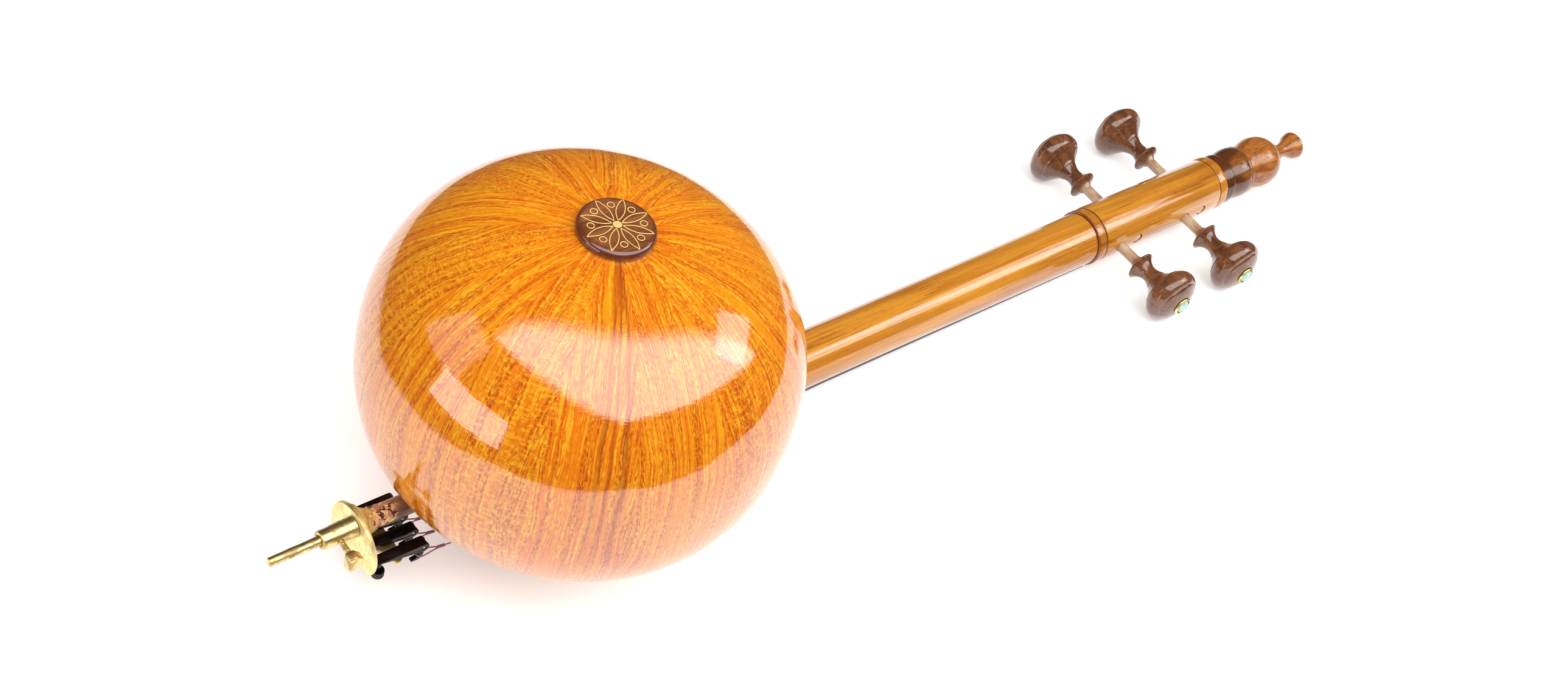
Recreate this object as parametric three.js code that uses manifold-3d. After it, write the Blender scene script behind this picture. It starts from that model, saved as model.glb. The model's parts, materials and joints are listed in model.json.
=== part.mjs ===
// A kamancheh (spike fiddle) that lies face down on its bridge and pegs.
// Lengths are millimetres and +Z is up. X runs along the neck, from the spike to the finial,
// and the back of the bowl faces up, so the strings are on the underside.
// All places below are measured from the middle of the bowl. At the end the whole instrument
// is moved, so that its origin lies on the table under the middle of its length.

import * as THREE from 'three';
import { mergeVertices } from 'three/addons/utils/BufferGeometryUtils.js';
import Module from 'manifold-3d';

const wasm = await Module();
wasm.setup();

// Clearances
const gap = 0.3;
const overrun = 2;
const weldDistance = 0.001;

// Bowl: a squarish ball of revolution, open at the front
const bowlRadius = 100;
const bowlBackHeight = 82.6;
const bowlFrontHeight = 74;
const bowlOpeningRadius = 52;
const bowlLipWidth = 12.5;
const bowlWall = 4;
const bowlPowerShare = 2.3;
const bowlSides = 40;
const bowlLowRings = 5;
const bowlHighRings = 10;

// Back disc
const discRadius = 17.5;
const discRise = 4.15;
const discEdge = 1.2;

// Front: hoop, skin and binding
const hoopWall = 3.2;
const hoopHeight = 9;
const skinThickness = 0.8;
const skinInset = 2;
const bindingWidth = 2;
const bindingHeight = 1.7;

// Neck
const neckDrop = 3.1;
const neckHeelSpace = 2.7;
const neckLength = 307.5;
const neckHeelRadius = 14.7;
const neckMiddleRadius = 14.4;
const neckHeadRadius = 14.9;
const neckFlatDepth = 6.5;
const tenonRadius = 4.5;
const tenonLength = 6;
const tenonRise = 6.5;

// Fingerboard and nut
const boardThickness = 3;
const boardWidth = 25;
const boardEdge = 1;
const nutThickness = 3.4;
const nutWidth = 22;
const nutRise = 2.1;

// Pegbox: a turned tube with a slot in front
const pegboxLength = 112.5;
const pegboxRadius = 16;
const pegboxEndRadius = 15.6;
const pegboxBandLength = 6;
const pegboxGroove = 0.5;
const pegboxBeadLength = 8;
const slotWidth = 17;
const slotBackWall = 6.5;
const slotStartWall = 2.4;
const slotEndWall = 11;
const slotRampRise = 4.5;
const pegboxFlatDepth = 13.4;

// Finial: stations are measured along it from the end of the pegbox, each with its radius
const finialRingAlong = 6.5;
const finialRingRadius = 14.8;
const finialCoveAlong = 13;
const finialCoveRadius = 13.5;
const finialBulgeAlong = 21;
const finialBulgeRadius = 14.8;
const finialThroatAlong = 31;
const finialThroatRadius = 13.9;
const finialBallStartAlong = 36.8;
const finialBallAlong = 45.5;
const finialBallRadius = 15.5;
const finialWaistAlong = 69.5;
const finialWaistRadius = 4;
const finialRimAlong = 80.3;
const finialRimRadius = 8.1;
const finialDomeShare = 0.8;
const finialLength = 84;
const finialTenonRadius = 6;
const finialTenonLength = 7;

// Pegs: each has a place along the pegbox, and its stations are measured out from the middle
const pegsAlong = [19.6, 75.2, 89.9, 34.1];
const pegSides = [-1, -1, 1, 1];
const pegTipOut = -13;
const pegTipRadius = 2.9;
const pegShaftRadius = 3.1;
const pegCollarStartOut = 28;
const pegCollarOut = 33;
const pegCollarRadius = 8.6;
const pegCollarRim = 1;
const pegWaistOut = 39;
const pegWaistRadius = 4.6;
const pegFlareShare = 0.45;
const pegKnobStartOut = 45.6;
const pegKnobStartRadius = 6.4;
const pegTrumpetOut = 51.8;
const pegTrumpetRadius = 13.3;
const pegTrumpetShare = 1.25;
const pegKnobRadius = 16.4;
const pegKnobSteps = 12;
const pegKnobWidestStep = 7;
const pegGrooveSteps = [4, 10];
const pegGroove = 0.9;
const pegFaceOut = 66.4;
const pegFaceRadius = 6;
const bezelInnerRadius = 4.4;
const bezelRadius = 5.6;
const bezelHeight = 1.2;
const stoneRadius = 4.1;
const stoneShoulderShare = 0.8;
const stoneHeight = 1.8;

// Tail: the tube, socket and rod are on one line above the bowl's front
const tailRise = 20.3;
const tubeRadius = 5;
const tubeBore = 2.9;
const tubeFlareRadius = 8.6;
const tubeFlareLength = 8;
const tubeDepth = 13.7;
const plateReach = 28.7;
const plateThickness = 2.2;
const plateRadius = 17.7;
const plateSides = 40;
const plateDrop = 9.9;
const plateChordDrop = 19.1;
const socketLength = 17.1;
const socketMouthRadius = 4.35;
const socketRootRadius = 5;
const socketChamfer = 0.5;
const rodRadius = 2.6;
const rodReach = 41.6;
const rodTipRadius = 2.15;
const rodTipChamfer = 0.5;
const rodDepth = 26.4;

// Clamp screw
const clampFromPlate = 9.2;
const clampShankRadius = 1.3;
const clampHeadOut = 13;
const clampHeadThickness = 5;
const clampHeadWidth = 7.2;
const clampHeadHeight = 9;
const clampHeadCorner = 1.2;
const clampHeadBevel = 3;

// Ledge under the fine tuners
const deckThickness = 1.6;
const deckLength = 16.5;
const deckSide = 2.5;
const deckCorner = 4.5;

// Fine tuners: four, side by side
const tunerCount = 4;
const tunerSpacing = 9;
const tunerWidth = 5.2;
const tunerLength = 27.9;
const tunerEndRadius = 2.7;
const tunerFloor = 1.3;
const tunerMouthLength = 7.5;
const leverThickness = 1.9;
const leverArmHeight = 1.2;
const leverArmOverhang = 1.5;
const leverEyeRadius = 1.7;
const hookBack = 1.3;
const hookFront = 1.6;
const hookDrop = 10;
const hookReach = 4.4;
const hookLip = 1.8;
const hookNotchDrop = 6.6;
const pinRadius = 0.7;
const screwFromPin = 21.5;
const screwRadius = 1.1;
const screwNeck = 0.5;
const screwHeadRadius = 2.9;
const screwHeadHeight = 4;
const screwKnurl = 0.25;
const screwKnurlCount = 12;

// Inner pieces of the bowl
const blockHalfWidth = 14;
const tailBlockHalfHeight = 11;
const tailBlockDepth = 21.7;
const neckBlockRise = 4;
const neckBlockHeight = 24;
const neckBlockSpace = 3.8;
const dowelRadius = 3.5;
const dowelRise = 5.5;
const dowelInset = 2;
const dowelReach = 20.7;
const throughRodRadius = 2.5;
const throughRodInset = 2;
const throughRodEndWood = 11.7;

// Bridge
const bridgeX = -6;
const bridgeThickness = 3;
const bridgeFootWidth = 42;
const bridgeTopWidth = 30;
const bridgeArchWidth = 20;
const bridgeArchHeight = 8;
const bridgeCrestRadius = 60;
const bridgeShoulder = 4;
const bridgeFootHeight = 3;
const bridgeSpacing = 8;

// Strings
const stringRadius = 0.35;
const stringSides = 6;
const nutSpacing = 5;
const nutStringDrop = 0.6;
const windingTurns = 2.5;
const windingPitch = 1.3;
const windingSteps = 24;
const loopRadius = 2.25;
const loopLength = 9;
const loopEndSpread = 0.5;

// Sides of round pieces
const roundSides = 24;
const smallSides = 12;
const holeSides = 10;
const arcSteps = 7;

// How far the bowl's outside is from its axis, at a depth below its middle.
function bowlRadiusAt(depth) {
    const opening = (bowlOpeningRadius / bowlRadius) ** bowlPowerShare;
    const level = (depth / bowlFrontHeight) ** bowlPowerShare * (1 - opening);
    return bowlRadius * (1 - level) ** (1 / bowlPowerShare);
}

// Places that several pieces share
const bowlFrontZ = -bowlFrontHeight;
const hoopRadius = bowlOpeningRadius - bowlLipWidth - gap;
const bindingInnerRadius = bowlOpeningRadius - skinInset + gap;
const bindingOuterRadius = bindingInnerRadius + bindingWidth;
const neckZ = bowlFrontZ - neckDrop;
const neckHeelX = bindingOuterRadius + neckHeelSpace;
const neckHeadX = neckHeelX + neckLength;
const pegboxEndX = neckHeadX + pegboxLength;
const tailZ = bowlFrontZ + tailRise;
const bowlTailRadius = bowlRadiusAt(-tailZ);
const tubeInnerX = -bowlTailRadius + tubeDepth;
const tailBlockX = -bowlTailRadius + tailBlockDepth;
const plateX = -bowlTailRadius - plateReach;
const plateZ = tailZ - plateDrop;
const plateChordZ = tailZ - plateChordDrop;
const socketMouthX = plateX - socketLength;
const rodTipX = plateX - rodReach;
const rodInnerX = plateX + rodDepth;
const clampX = plateX - clampFromPlate;
const neckBlockX = hoopRadius + neckBlockSpace;
const neckBlockBottomZ = bowlFrontZ + neckBlockRise;
const neckBlockTopZ = neckBlockBottomZ + neckBlockHeight;
const dowelZ = bowlFrontZ + dowelRise;
const dowelStartX = neckBlockX + dowelInset;
const dowelEndX = bowlRadiusAt(-dowelZ) + dowelReach;
const throughRodStartX = tailBlockX - throughRodInset;
const throughRodEndX = bowlTailRadius - bowlWall - throughRodEndWood;
const restZ = neckZ - pegKnobRadius;
const pegKnobOut = pegKnobStartOut
    + (pegFaceOut - pegKnobStartOut) * pegKnobWidestStep / pegKnobSteps;
const neckFlatZ = neckZ - neckFlatDepth;
const boardFrontZ = neckFlatZ - gap - boardThickness;
const nutX = neckHeadX - 2 * gap - nutThickness;
const nutFrontZ = boardFrontZ - nutRise;
const nutStringZ = nutFrontZ + nutStringDrop;
const plateInnerX = plateX + plateThickness;
const skinBackZ = bowlFrontZ - gap;
const skinFrontZ = skinBackZ - skinThickness;
const bridgeFootZ = skinFrontZ - gap;
const deckTopZ = plateChordZ + deckThickness;
const deckHalfWidth = (tunerCount - 1) * tunerSpacing / 2 + deckSide;
const tunerStartX = plateInnerX + gap;
const tunerEndX = tunerStartX + tunerLength;
const tunerBottomZ = deckTopZ + gap;
const tunerFloorZ = tunerBottomZ + tunerFloor;
const pinX = tunerEndX - tunerEndRadius;
const pinZ = tunerBottomZ + tunerEndRadius;
const screwX = pinX - screwFromPin;
const armBottomZ = tunerFloorZ + gap;
const hookZ = pinZ - hookNotchDrop;
const loopEndX = pinX + loopLength;

const finishes = {
    stave: { color: 0xe08a1e, roughness: 0.12, metalness: 0 },
    neck: { color: 0xc07a2a, roughness: 0.2, metalness: 0 },
    peg: { color: 0x5a3220, roughness: 0.3, metalness: 0 },
    disc: { color: 0x4a2014, roughness: 0.25, metalness: 0 },
    board: { color: 0x1d1512, roughness: 0.4, metalness: 0 },
    bone: { color: 0xe9dfc6, roughness: 0.4, metalness: 0 },
    maple: { color: 0xc99a5b, roughness: 0.5, metalness: 0 },
    spruce: { color: 0xc8a878, roughness: 0.7, metalness: 0 },
    skin: { color: 0xe6dcc4, roughness: 0.6, metalness: 0 },
    brass: { color: 0xc7a24c, roughness: 0.35, metalness: 1 },
    oxide: { color: 0x7a4a2c, roughness: 0.5, metalness: 0.8 },
    black: { color: 0x0c0c0e, roughness: 0.15, metalness: 0 },
    steel: { color: 0xb9b9be, roughness: 0.3, metalness: 1 },
    string: { color: 0x8f7f95, roughness: 0.4, metalness: 0.8 },
    turquoise: { color: 0x3fb9c4, roughness: 0.25, metalness: 0 },
};

const instrument = new THREE.Group();

function add(name, geometry, finish, parent = instrument) {
    const mesh = new THREE.Mesh(geometry, new THREE.MeshStandardMaterial(finishes[finish]));
    mesh.name = name;
    parent.add(mesh);
    return mesh;
}

// A turned piece on the X axis: its profile holds [place along x, radius] pairs.
function turned(profile, sides = roundSides) {
    const points = profile.map(([along, radius]) => new THREE.Vector2(radius, along));
    return new THREE.LatheGeometry(points, sides).rotateZ(-Math.PI / 2);
}

// A turned piece on the Z axis, with [height, radius] pairs.
function turnedUp(profile, sides = roundSides) {
    const points = profile.map(([height, radius]) => new THREE.Vector2(radius, height));
    return new THREE.LatheGeometry(points, sides).rotateX(Math.PI / 2);
}

// A turned piece on the Y axis, with [place along y, radius] pairs.
function turnedAcross(profile, sides = roundSides) {
    return new THREE.LatheGeometry(profile.map(([out, radius]) => new THREE.Vector2(radius, out)), sides);
}

function rodProfile(radius, from, to) {
    return [[from, 0], [from, radius], [to, radius], [to, 0]];
}

function box(fromX, toX, halfWidth, fromZ, toZ) {
    const geometry = new THREE.BoxGeometry(toX - fromX, 2 * halfWidth, toZ - fromZ);
    return geometry.translate((fromX + toX) / 2, 0, (fromZ + toZ) / 2);
}

// An outline in y and z, drawn out along x.
function alongX(shape, fromX, toX, curveSegments = arcSteps) {
    const options = { depth: toX - fromX, bevelEnabled: false, curveSegments };
    const turn = new THREE.Matrix4().makeBasis(
        new THREE.Vector3(0, 1, 0), new THREE.Vector3(0, 0, 1), new THREE.Vector3(1, 0, 0));
    return new THREE.ExtrudeGeometry(shape, options).applyMatrix4(turn).translate(fromX, 0, 0);
}

// An outline in x and z, drawn out across y, from -halfWidth to halfWidth.
function acrossY(shape, halfWidth) {
    const options = { depth: 2 * halfWidth, bevelEnabled: false, curveSegments: arcSteps };
    return new THREE.ExtrudeGeometry(shape, options).rotateX(Math.PI / 2).translate(0, halfWidth, 0);
}

function outline(points) {
    return new THREE.Shape(points.map(([x, y]) => new THREE.Vector2(x, y)));
}

// A rectangle with rounded corners, around a middle.
function roundedRectangle(width, height, corner, middleY = 0) {
    const shape = new THREE.Shape();
    const x = width / 2 - corner;
    const y = height / 2 - corner;
    shape.absarc(x, middleY - y, corner, -Math.PI / 2, 0);
    shape.absarc(x, middleY + y, corner, 0, Math.PI / 2);
    shape.absarc(-x, middleY + y, corner, Math.PI / 2, Math.PI);
    shape.absarc(-x, middleY - y, corner, Math.PI, 1.5 * Math.PI);
    shape.closePath();
    return shape;
}

// Joins and cuts of closed solids
function solidOf(geometry) {
    const bare = geometry.clone();
    bare.deleteAttribute('normal');
    bare.deleteAttribute('uv');
    const merged = mergeVertices(bare, weldDistance);
    const corners = merged.index.array;
    const triVerts = [];
    for (let i = 0; i < corners.length; i += 3) {
        const [a, b, c] = corners.slice(i, i + 3);
        if (a !== b && b !== c && c !== a) {
            triVerts.push(a, b, c);
        }
    }
    const vertProperties = new Float32Array(merged.attributes.position.array);
    const mesh = new wasm.Mesh({ numProp: 3, vertProperties, triVerts: new Uint32Array(triVerts) });
    return new wasm.Manifold(mesh);
}

function geometryOf(solid) {
    const mesh = solid.getMesh();
    const geometry = new THREE.BufferGeometry();
    geometry.setAttribute('position', new THREE.BufferAttribute(mesh.vertProperties, 3));
    geometry.setIndex(new THREE.BufferAttribute(mesh.triVerts, 1));
    return geometry;
}

function cut(base, ...tools) {
    return geometryOf(tools.reduce((solid, tool) => solid.subtract(solidOf(tool)), solidOf(base)));
}

function joined(base, ...others) {
    return geometryOf(others.reduce((solid, other) => solid.add(solidOf(other)), solidOf(base)));
}

function common(base, other) {
    return geometryOf(solidOf(base).intersect(solidOf(other)));
}

// Bowl

// Points [height, radius] up a squarish ball, from its opening to its back.
function bowlCurve(radius, backHeight, openingRadius) {
    const share = 2 / bowlPowerShare;
    const start = Math.acos((openingRadius / radius) ** (1 / share));
    const points = [];
    for (let i = 0; i < bowlLowRings; i += 1) {
        const angle = start * (1 - i / bowlLowRings);
        const depth = bowlFrontHeight * (Math.sin(angle) / Math.sin(start)) ** share;
        points.push([-depth, radius * Math.cos(angle) ** share]);
    }
    for (let i = 0; i < bowlHighRings; i += 1) {
        const angle = (Math.PI / 2) * i / bowlHighRings;
        points.push([backHeight * Math.sin(angle) ** share, radius * Math.cos(angle) ** share]);
    }
    return [...points, [backHeight, 0]];
}

// The ball filled up, larger than the bowl by a clearance: it shapes what lies against the bowl.
function filledBall(clearance) {
    const curve = bowlCurve(bowlRadius + clearance, bowlBackHeight + clearance,
        bowlOpeningRadius + clearance);
    return turnedUp([[bowlFrontZ, 0], ...curve], bowlSides);
}

// The hollow of the bowl, smaller by a clearance; its wall is slanted, so its lip is wide.
function innerCurve(clearance) {
    const inset = bowlWall + clearance;
    return bowlCurve(bowlRadius - inset, bowlBackHeight - inset,
        bowlOpeningRadius - bowlLipWidth - clearance);
}

function bowlShell() {
    const outer = bowlCurve(bowlRadius, bowlBackHeight, bowlOpeningRadius);
    const shell = turnedUp([...innerCurve(0).reverse(), ...outer], bowlSides);
    const tubeHole = turned(rodProfile(tubeRadius + gap, -bowlRadius, tailBlockX), smallSides);
    const dowelHole = turned(rodProfile(dowelRadius + gap, dowelStartX, bowlRadius), smallSides);
    return cut(shell, tubeHole.translate(0, 0, tailZ), dowelHole.translate(0, 0, dowelZ));
}

function backDisc() {
    const top = bowlBackHeight + discRise;
    const low = bowlBackHeight - discRise;
    const profile = [[low, 0], [low, discRadius], [top - discEdge, discRadius]];
    profile.push([top, discRadius - discEdge], [top, 0]);
    return cut(turnedUp(profile), filledBall(gap));
}

function rimHoop() {
    const bottom = bowlFrontZ + gap;
    const inner = hoopRadius - hoopWall;
    const profile = [[bottom, inner], [bottom, hoopRadius], [bottom + hoopHeight, hoopRadius]];
    profile.push([bottom + hoopHeight, inner], [bottom, inner]);
    return turnedUp(profile);
}

function skin() {
    const radius = bowlOpeningRadius - skinInset;
    return turnedUp([[skinFrontZ, 0], [skinFrontZ, radius], [skinBackZ, radius], [skinBackZ, 0]]);
}

function skinBinding() {
    const bottom = skinBackZ - bindingHeight;
    const profile = [[bottom, bindingInnerRadius], [bottom, bindingOuterRadius]];
    profile.push([skinBackZ, bindingOuterRadius], [skinBackZ, bindingInnerRadius]);
    return turnedUp([...profile, [bottom, bindingInnerRadius]]);
}

// The space inside the bowl, less a clearance, in which the blocks fit.
function innerBall() {
    return turnedUp([[bowlFrontZ, 0], ...innerCurve(gap)], bowlSides);
}

function tailBlock() {
    const low = tailZ - tailBlockHalfHeight;
    const high = tailZ + tailBlockHalfHeight;
    const block = common(box(-bowlRadius, tailBlockX, blockHalfWidth, low, high), innerBall());
    const tubeHole = turned(rodProfile(tubeRadius + gap, -bowlRadius, tubeInnerX + gap), smallSides);
    const rodHole = turned(rodProfile(throughRodRadius + gap, tubeInnerX, tailBlockX + overrun), smallSides);
    return cut(block, tubeHole.translate(0, 0, tailZ), rodHole.translate(0, 0, tailZ));
}

function neckBlock() {
    const blank = box(neckBlockX, bowlRadius, blockHalfWidth, neckBlockBottomZ, neckBlockTopZ);
    const rodHole = turned(rodProfile(throughRodRadius + gap, neckBlockX - overrun,
        throughRodEndX + gap), smallSides);
    const dowelHole = turned(rodProfile(dowelRadius + gap, dowelStartX - gap, bowlRadius), smallSides);
    const block = common(blank, innerBall());
    return cut(block, rodHole.translate(0, 0, tailZ), dowelHole.translate(0, 0, dowelZ));
}

function neckDowel() {
    return turned(rodProfile(dowelRadius, dowelStartX, dowelEndX), smallSides).translate(0, 0, dowelZ);
}

function throughRod() {
    const profile = rodProfile(throughRodRadius, throughRodStartX, throughRodEndX);
    return turned(profile, smallSides).translate(0, 0, tailZ);
}

function addBowl() {
    add('bowl_shell', bowlShell(), 'stave');
    add('back_disc', backDisc(), 'disc');
    add('rim_hoop', rimHoop(), 'spruce');
    add('skin', skin(), 'skin');
    add('skin_binding', skinBinding(), 'board');
    add('tail_block', tailBlock(), 'spruce');
    add('neck_block', neckBlock(), 'spruce');
    add('neck_dowel', neckDowel(), 'maple');
    add('through_rod', throughRod(), 'steel');
}

// Neck and head

function neck() {
    const middleX = (neckHeelX + neckHeadX) / 2;
    const profile = [[neckHeelX, 0], [neckHeelX, neckHeelRadius], [middleX, neckMiddleRadius]];
    profile.push([neckHeadX - gap, neckHeadRadius], [neckHeadX - gap, 0]);
    const round = turned(profile).translate(0, 0, neckZ);
    const flat = box(neckHeelX - overrun, neckHeadX, 2 * neckHeelRadius, restZ - overrun, neckFlatZ);
    const dowelHole = turned(rodProfile(dowelRadius + gap, dowelStartX, dowelEndX + gap), smallSides);
    const tenon = turned(rodProfile(tenonRadius, neckHeadX - overrun, neckHeadX + tenonLength), smallSides);
    const body = cut(round, flat, filledBall(gap), dowelHole.translate(0, 0, dowelZ));
    return joined(body, tenon.translate(0, 0, neckZ + tenonRise));
}

function fingerboard() {
    const middle = neckFlatZ - gap - boardThickness / 2;
    const shape = roundedRectangle(boardWidth, boardThickness, boardEdge, middle);
    return alongX(shape, neckHeelX, nutX - gap);
}

// Where string number i runs, for strings that lie a spacing apart.
function lane(i, spacing) {
    return (i - (tunerCount - 1) / 2) * spacing;
}

function notch(fromX, toX, y, depthZ, mouthZ) {
    return box(fromX - overrun, toX + overrun, stringRadius + gap, mouthZ - overrun, depthZ)
        .translate(0, y, 0);
}

function nut() {
    const back = neckFlatZ - gap;
    const middle = (back + nutFrontZ) / 2;
    const blank = alongX(roundedRectangle(nutWidth, back - nutFrontZ, boardEdge, middle),
        nutX, nutX + nutThickness);
    const depth = nutStringZ + stringRadius + gap;
    const notches = [];
    for (let i = 0; i < tunerCount; i += 1) {
        notches.push(notch(nutX, nutX + nutThickness, lane(i, nutSpacing), depth, nutFrontZ));
    }
    return cut(blank, ...notches);
}

function pegboxSlot() {
    const front = restZ - overrun;
    const ceiling = neckZ + pegboxRadius - slotBackWall;
    const start = neckHeadX - overrun;
    const wall = neckHeadX + tenonLength + gap + slotStartWall;
    const end = pegboxEndX - slotEndWall;
    const points = [[start, front], [start, neckFlatZ], [neckHeadX, neckFlatZ]];
    points.push([wall, neckFlatZ + slotRampRise], [wall, ceiling], [end, ceiling], [end, front]);
    return acrossY(outline(points.reverse()), slotWidth / 2);
}

function pegbox() {
    const bandEnd = neckHeadX + pegboxBandLength;
    const beadStart = pegboxEndX - pegboxBeadLength;
    const profile = [[neckHeadX, 0], [neckHeadX, pegboxRadius - pegboxGroove]];
    profile.push([neckHeadX + pegboxGroove, pegboxRadius], [bandEnd, pegboxRadius]);
    profile.push([bandEnd + pegboxGroove, pegboxRadius - pegboxGroove]);
    profile.push([bandEnd + 2 * pegboxGroove, pegboxRadius], [beadStart - pegboxGroove, pegboxEndRadius]);
    profile.push([beadStart, pegboxEndRadius - pegboxGroove], [beadStart + pegboxGroove, pegboxEndRadius]);
    profile.push([pegboxEndX - pegboxGroove, pegboxEndRadius], [pegboxEndX, pegboxEndRadius - pegboxGroove]);
    profile.push([pegboxEndX, 0]);
    const blank = turned(profile).translate(0, 0, neckZ);
    const mortise = turned(rodProfile(tenonRadius + gap, neckHeadX - overrun,
        neckHeadX + tenonLength + gap), smallSides);
    const socket = turned(rodProfile(finialTenonRadius + gap, pegboxEndX - finialTenonLength - gap,
        pegboxEndX + overrun), smallSides);
    const flat = box(neckHeadX - overrun, pegboxEndX + overrun, 2 * pegboxRadius,
        neckZ - 2 * pegboxRadius, neckZ - pegboxFlatDepth);
    const pegHoles = pegsAlong.map((along) => turnedAcross(rodProfile(pegShaftRadius + gap,
        -pegboxRadius - overrun, pegboxRadius + overrun), smallSides).translate(neckHeadX + along, 0, neckZ));
    return cut(blank, pegboxSlot(), flat, mortise.translate(0, 0, neckZ + tenonRise),
        socket.translate(0, 0, neckZ), ...pegHoles);
}

// Along the finial, from the end of the pegbox.
function finial() {
    const profile = [[-finialTenonLength, 0], [-finialTenonLength, finialTenonRadius]];
    profile.push([gap, finialTenonRadius], [gap, pegboxEndRadius - 2 * pegboxGroove]);
    profile.push([finialRingAlong, finialRingRadius], [finialCoveAlong, finialCoveRadius]);
    profile.push([finialBulgeAlong, finialBulgeRadius], [finialThroatAlong, finialThroatRadius]);
    const ballStart = Math.asin((finialBallStartAlong - finialBallAlong) / finialBallRadius);
    const ballEnd = Math.acos(finialWaistRadius / finialBallRadius);
    for (let i = 0; i <= arcSteps; i += 1) {
        const angle = ballStart + (ballEnd - ballStart) * i / arcSteps;
        const along = finialBallAlong + finialBallRadius * Math.sin(angle);
        profile.push([along, finialBallRadius * Math.cos(angle)]);
    }
    profile.push([finialWaistAlong, finialWaistRadius]);
    profile.push([(finialWaistAlong + finialRimAlong) / 2, (finialWaistRadius + finialRimRadius) / 2]);
    profile.push([finialRimAlong, finialRimRadius]);
    profile.push([(finialRimAlong + finialLength) / 2, finialDomeShare * finialRimRadius]);
    return turned([...profile, [finialLength, 0]]).translate(pegboxEndX, 0, neckZ);
}

// Pegs

// The knob opens from its stem like a trumpet and goes on as two half ellipses.
function knobRadiusAt(out) {
    if (out < pegTrumpetOut) {
        const share = (out - pegKnobStartOut) / (pegTrumpetOut - pegKnobStartOut);
        return pegKnobStartRadius + (pegTrumpetRadius - pegKnobStartRadius) * share ** pegTrumpetShare;
    }
    const [edge, edgeRadius] = out < pegKnobOut
        ? [pegTrumpetOut, pegTrumpetRadius] : [pegFaceOut, pegFaceRadius];
    const reach = (edge - pegKnobOut) / Math.sqrt(1 - (edgeRadius / pegKnobRadius) ** 2);
    return pegKnobRadius * Math.sqrt(1 - ((out - pegKnobOut) / reach) ** 2);
}

function peg() {
    const collarMiddle = (pegShaftRadius + pegCollarRadius) * pegFlareShare;
    const waistMiddle = (pegCollarRadius + pegWaistRadius) * pegFlareShare;
    const profile = [[pegTipOut, 0], [pegTipOut, pegTipRadius], [pegCollarStartOut, pegShaftRadius]];
    profile.push([(pegCollarStartOut + pegCollarOut) / 2, collarMiddle]);
    profile.push([pegCollarOut - pegCollarRim, pegCollarRadius], [pegCollarOut, pegCollarRadius]);
    profile.push([(pegCollarOut + pegWaistOut) / 2, waistMiddle], [pegWaistOut, pegWaistRadius]);
    for (let i = 0; i <= pegKnobSteps; i += 1) {
        const out = pegKnobStartOut + (pegFaceOut - pegKnobStartOut) * i / pegKnobSteps;
        profile.push([out, knobRadiusAt(out) - (pegGrooveSteps.includes(i) ? pegGroove : 0)]);
    }
    return turnedAcross([...profile, [pegFaceOut, 0]]);
}

function bezel() {
    const low = pegFaceOut + gap;
    const high = low + bezelHeight;
    const profile = [[low, bezelInnerRadius], [low, bezelRadius], [high, bezelInnerRadius + gap]];
    return turnedAcross([...profile, [high, bezelInnerRadius], [low, bezelInnerRadius]], smallSides);
}

function stone() {
    const low = pegFaceOut + gap;
    const profile = [[low, 0], [low, stoneRadius]];
    profile.push([low + stoneHeight / 2, stoneShoulderShare * stoneRadius], [low + stoneHeight, 0]);
    return turnedAcross(profile, smallSides);
}

function addPegs() {
    pegsAlong.forEach((along, i) => {
        const group = new THREE.Group();
        group.position.set(neckHeadX + along, 0, neckZ);
        group.rotation.x = pegSides[i] < 0 ? Math.PI : 0;
        instrument.add(group);
        add(`peg_${i + 1}`, peg(), 'peg', group);
        add(`peg_bezel_${i + 1}`, bezel(), 'brass', group);
        add(`peg_stone_${i + 1}`, stone(), 'turquoise', group);
    });
}

function addNeck() {
    add('neck', neck(), 'neck');
    add('fingerboard', fingerboard(), 'board');
    add('nut', nut(), 'bone');
    add('pegbox', pegbox(), 'neck');
    add('finial', finial(), 'neck');
}

// Tail

function tailTube() {
    const from = plateInnerX + gap;
    const profile = [[from, tubeBore], [from, tubeFlareRadius]];
    for (let i = 1; i < arcSteps; i += 1) {
        const angle = (Math.PI / 2) * i / arcSteps;
        const radius = tubeFlareRadius - (tubeFlareRadius - tubeRadius) * Math.sin(angle);
        profile.push([from + tubeFlareLength * (1 - Math.cos(angle)), radius]);
    }
    profile.push([from + tubeFlareLength, tubeRadius], [tubeInnerX, tubeRadius], [tubeInnerX, tubeBore]);
    return turned([...profile, [from, tubeBore]]).translate(0, 0, tailZ);
}

function tailPlate() {
    const disc = turned(rodProfile(plateRadius, plateX, plateInnerX), plateSides).translate(0, 0, plateZ);
    const chord = box(plateX - overrun, plateInnerX + overrun, 2 * plateRadius,
        plateZ - 2 * plateRadius, plateChordZ);
    const hole = turned(rodProfile(tubeBore, plateX - overrun, plateInnerX + overrun), smallSides);
    return cut(disc, chord, hole.translate(0, 0, tailZ));
}

function spikeSocket() {
    const root = plateX - gap;
    const profile = [[socketMouthX, tubeBore], [socketMouthX, socketMouthRadius - socketChamfer]];
    profile.push([socketMouthX + socketChamfer, socketMouthRadius]);
    profile.push([root, socketRootRadius], [root, tubeBore]);
    const body = turned([...profile, [socketMouthX, tubeBore]]).translate(0, 0, tailZ);
    const hole = turnedAcross(rodProfile(clampShankRadius + gap, -clampHeadOut, 0), smallSides);
    return cut(body, hole.translate(clampX, 0, tailZ));
}

function spikeRod() {
    const profile = [[rodTipX, 0], [rodTipX, rodTipRadius - rodTipChamfer]];
    profile.push([rodTipX + rodTipChamfer, rodTipRadius], [socketMouthX, rodRadius]);
    profile.push([rodInnerX, rodRadius], [rodInnerX, 0]);
    return turned(profile, smallSides).translate(0, 0, tailZ);
}

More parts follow.
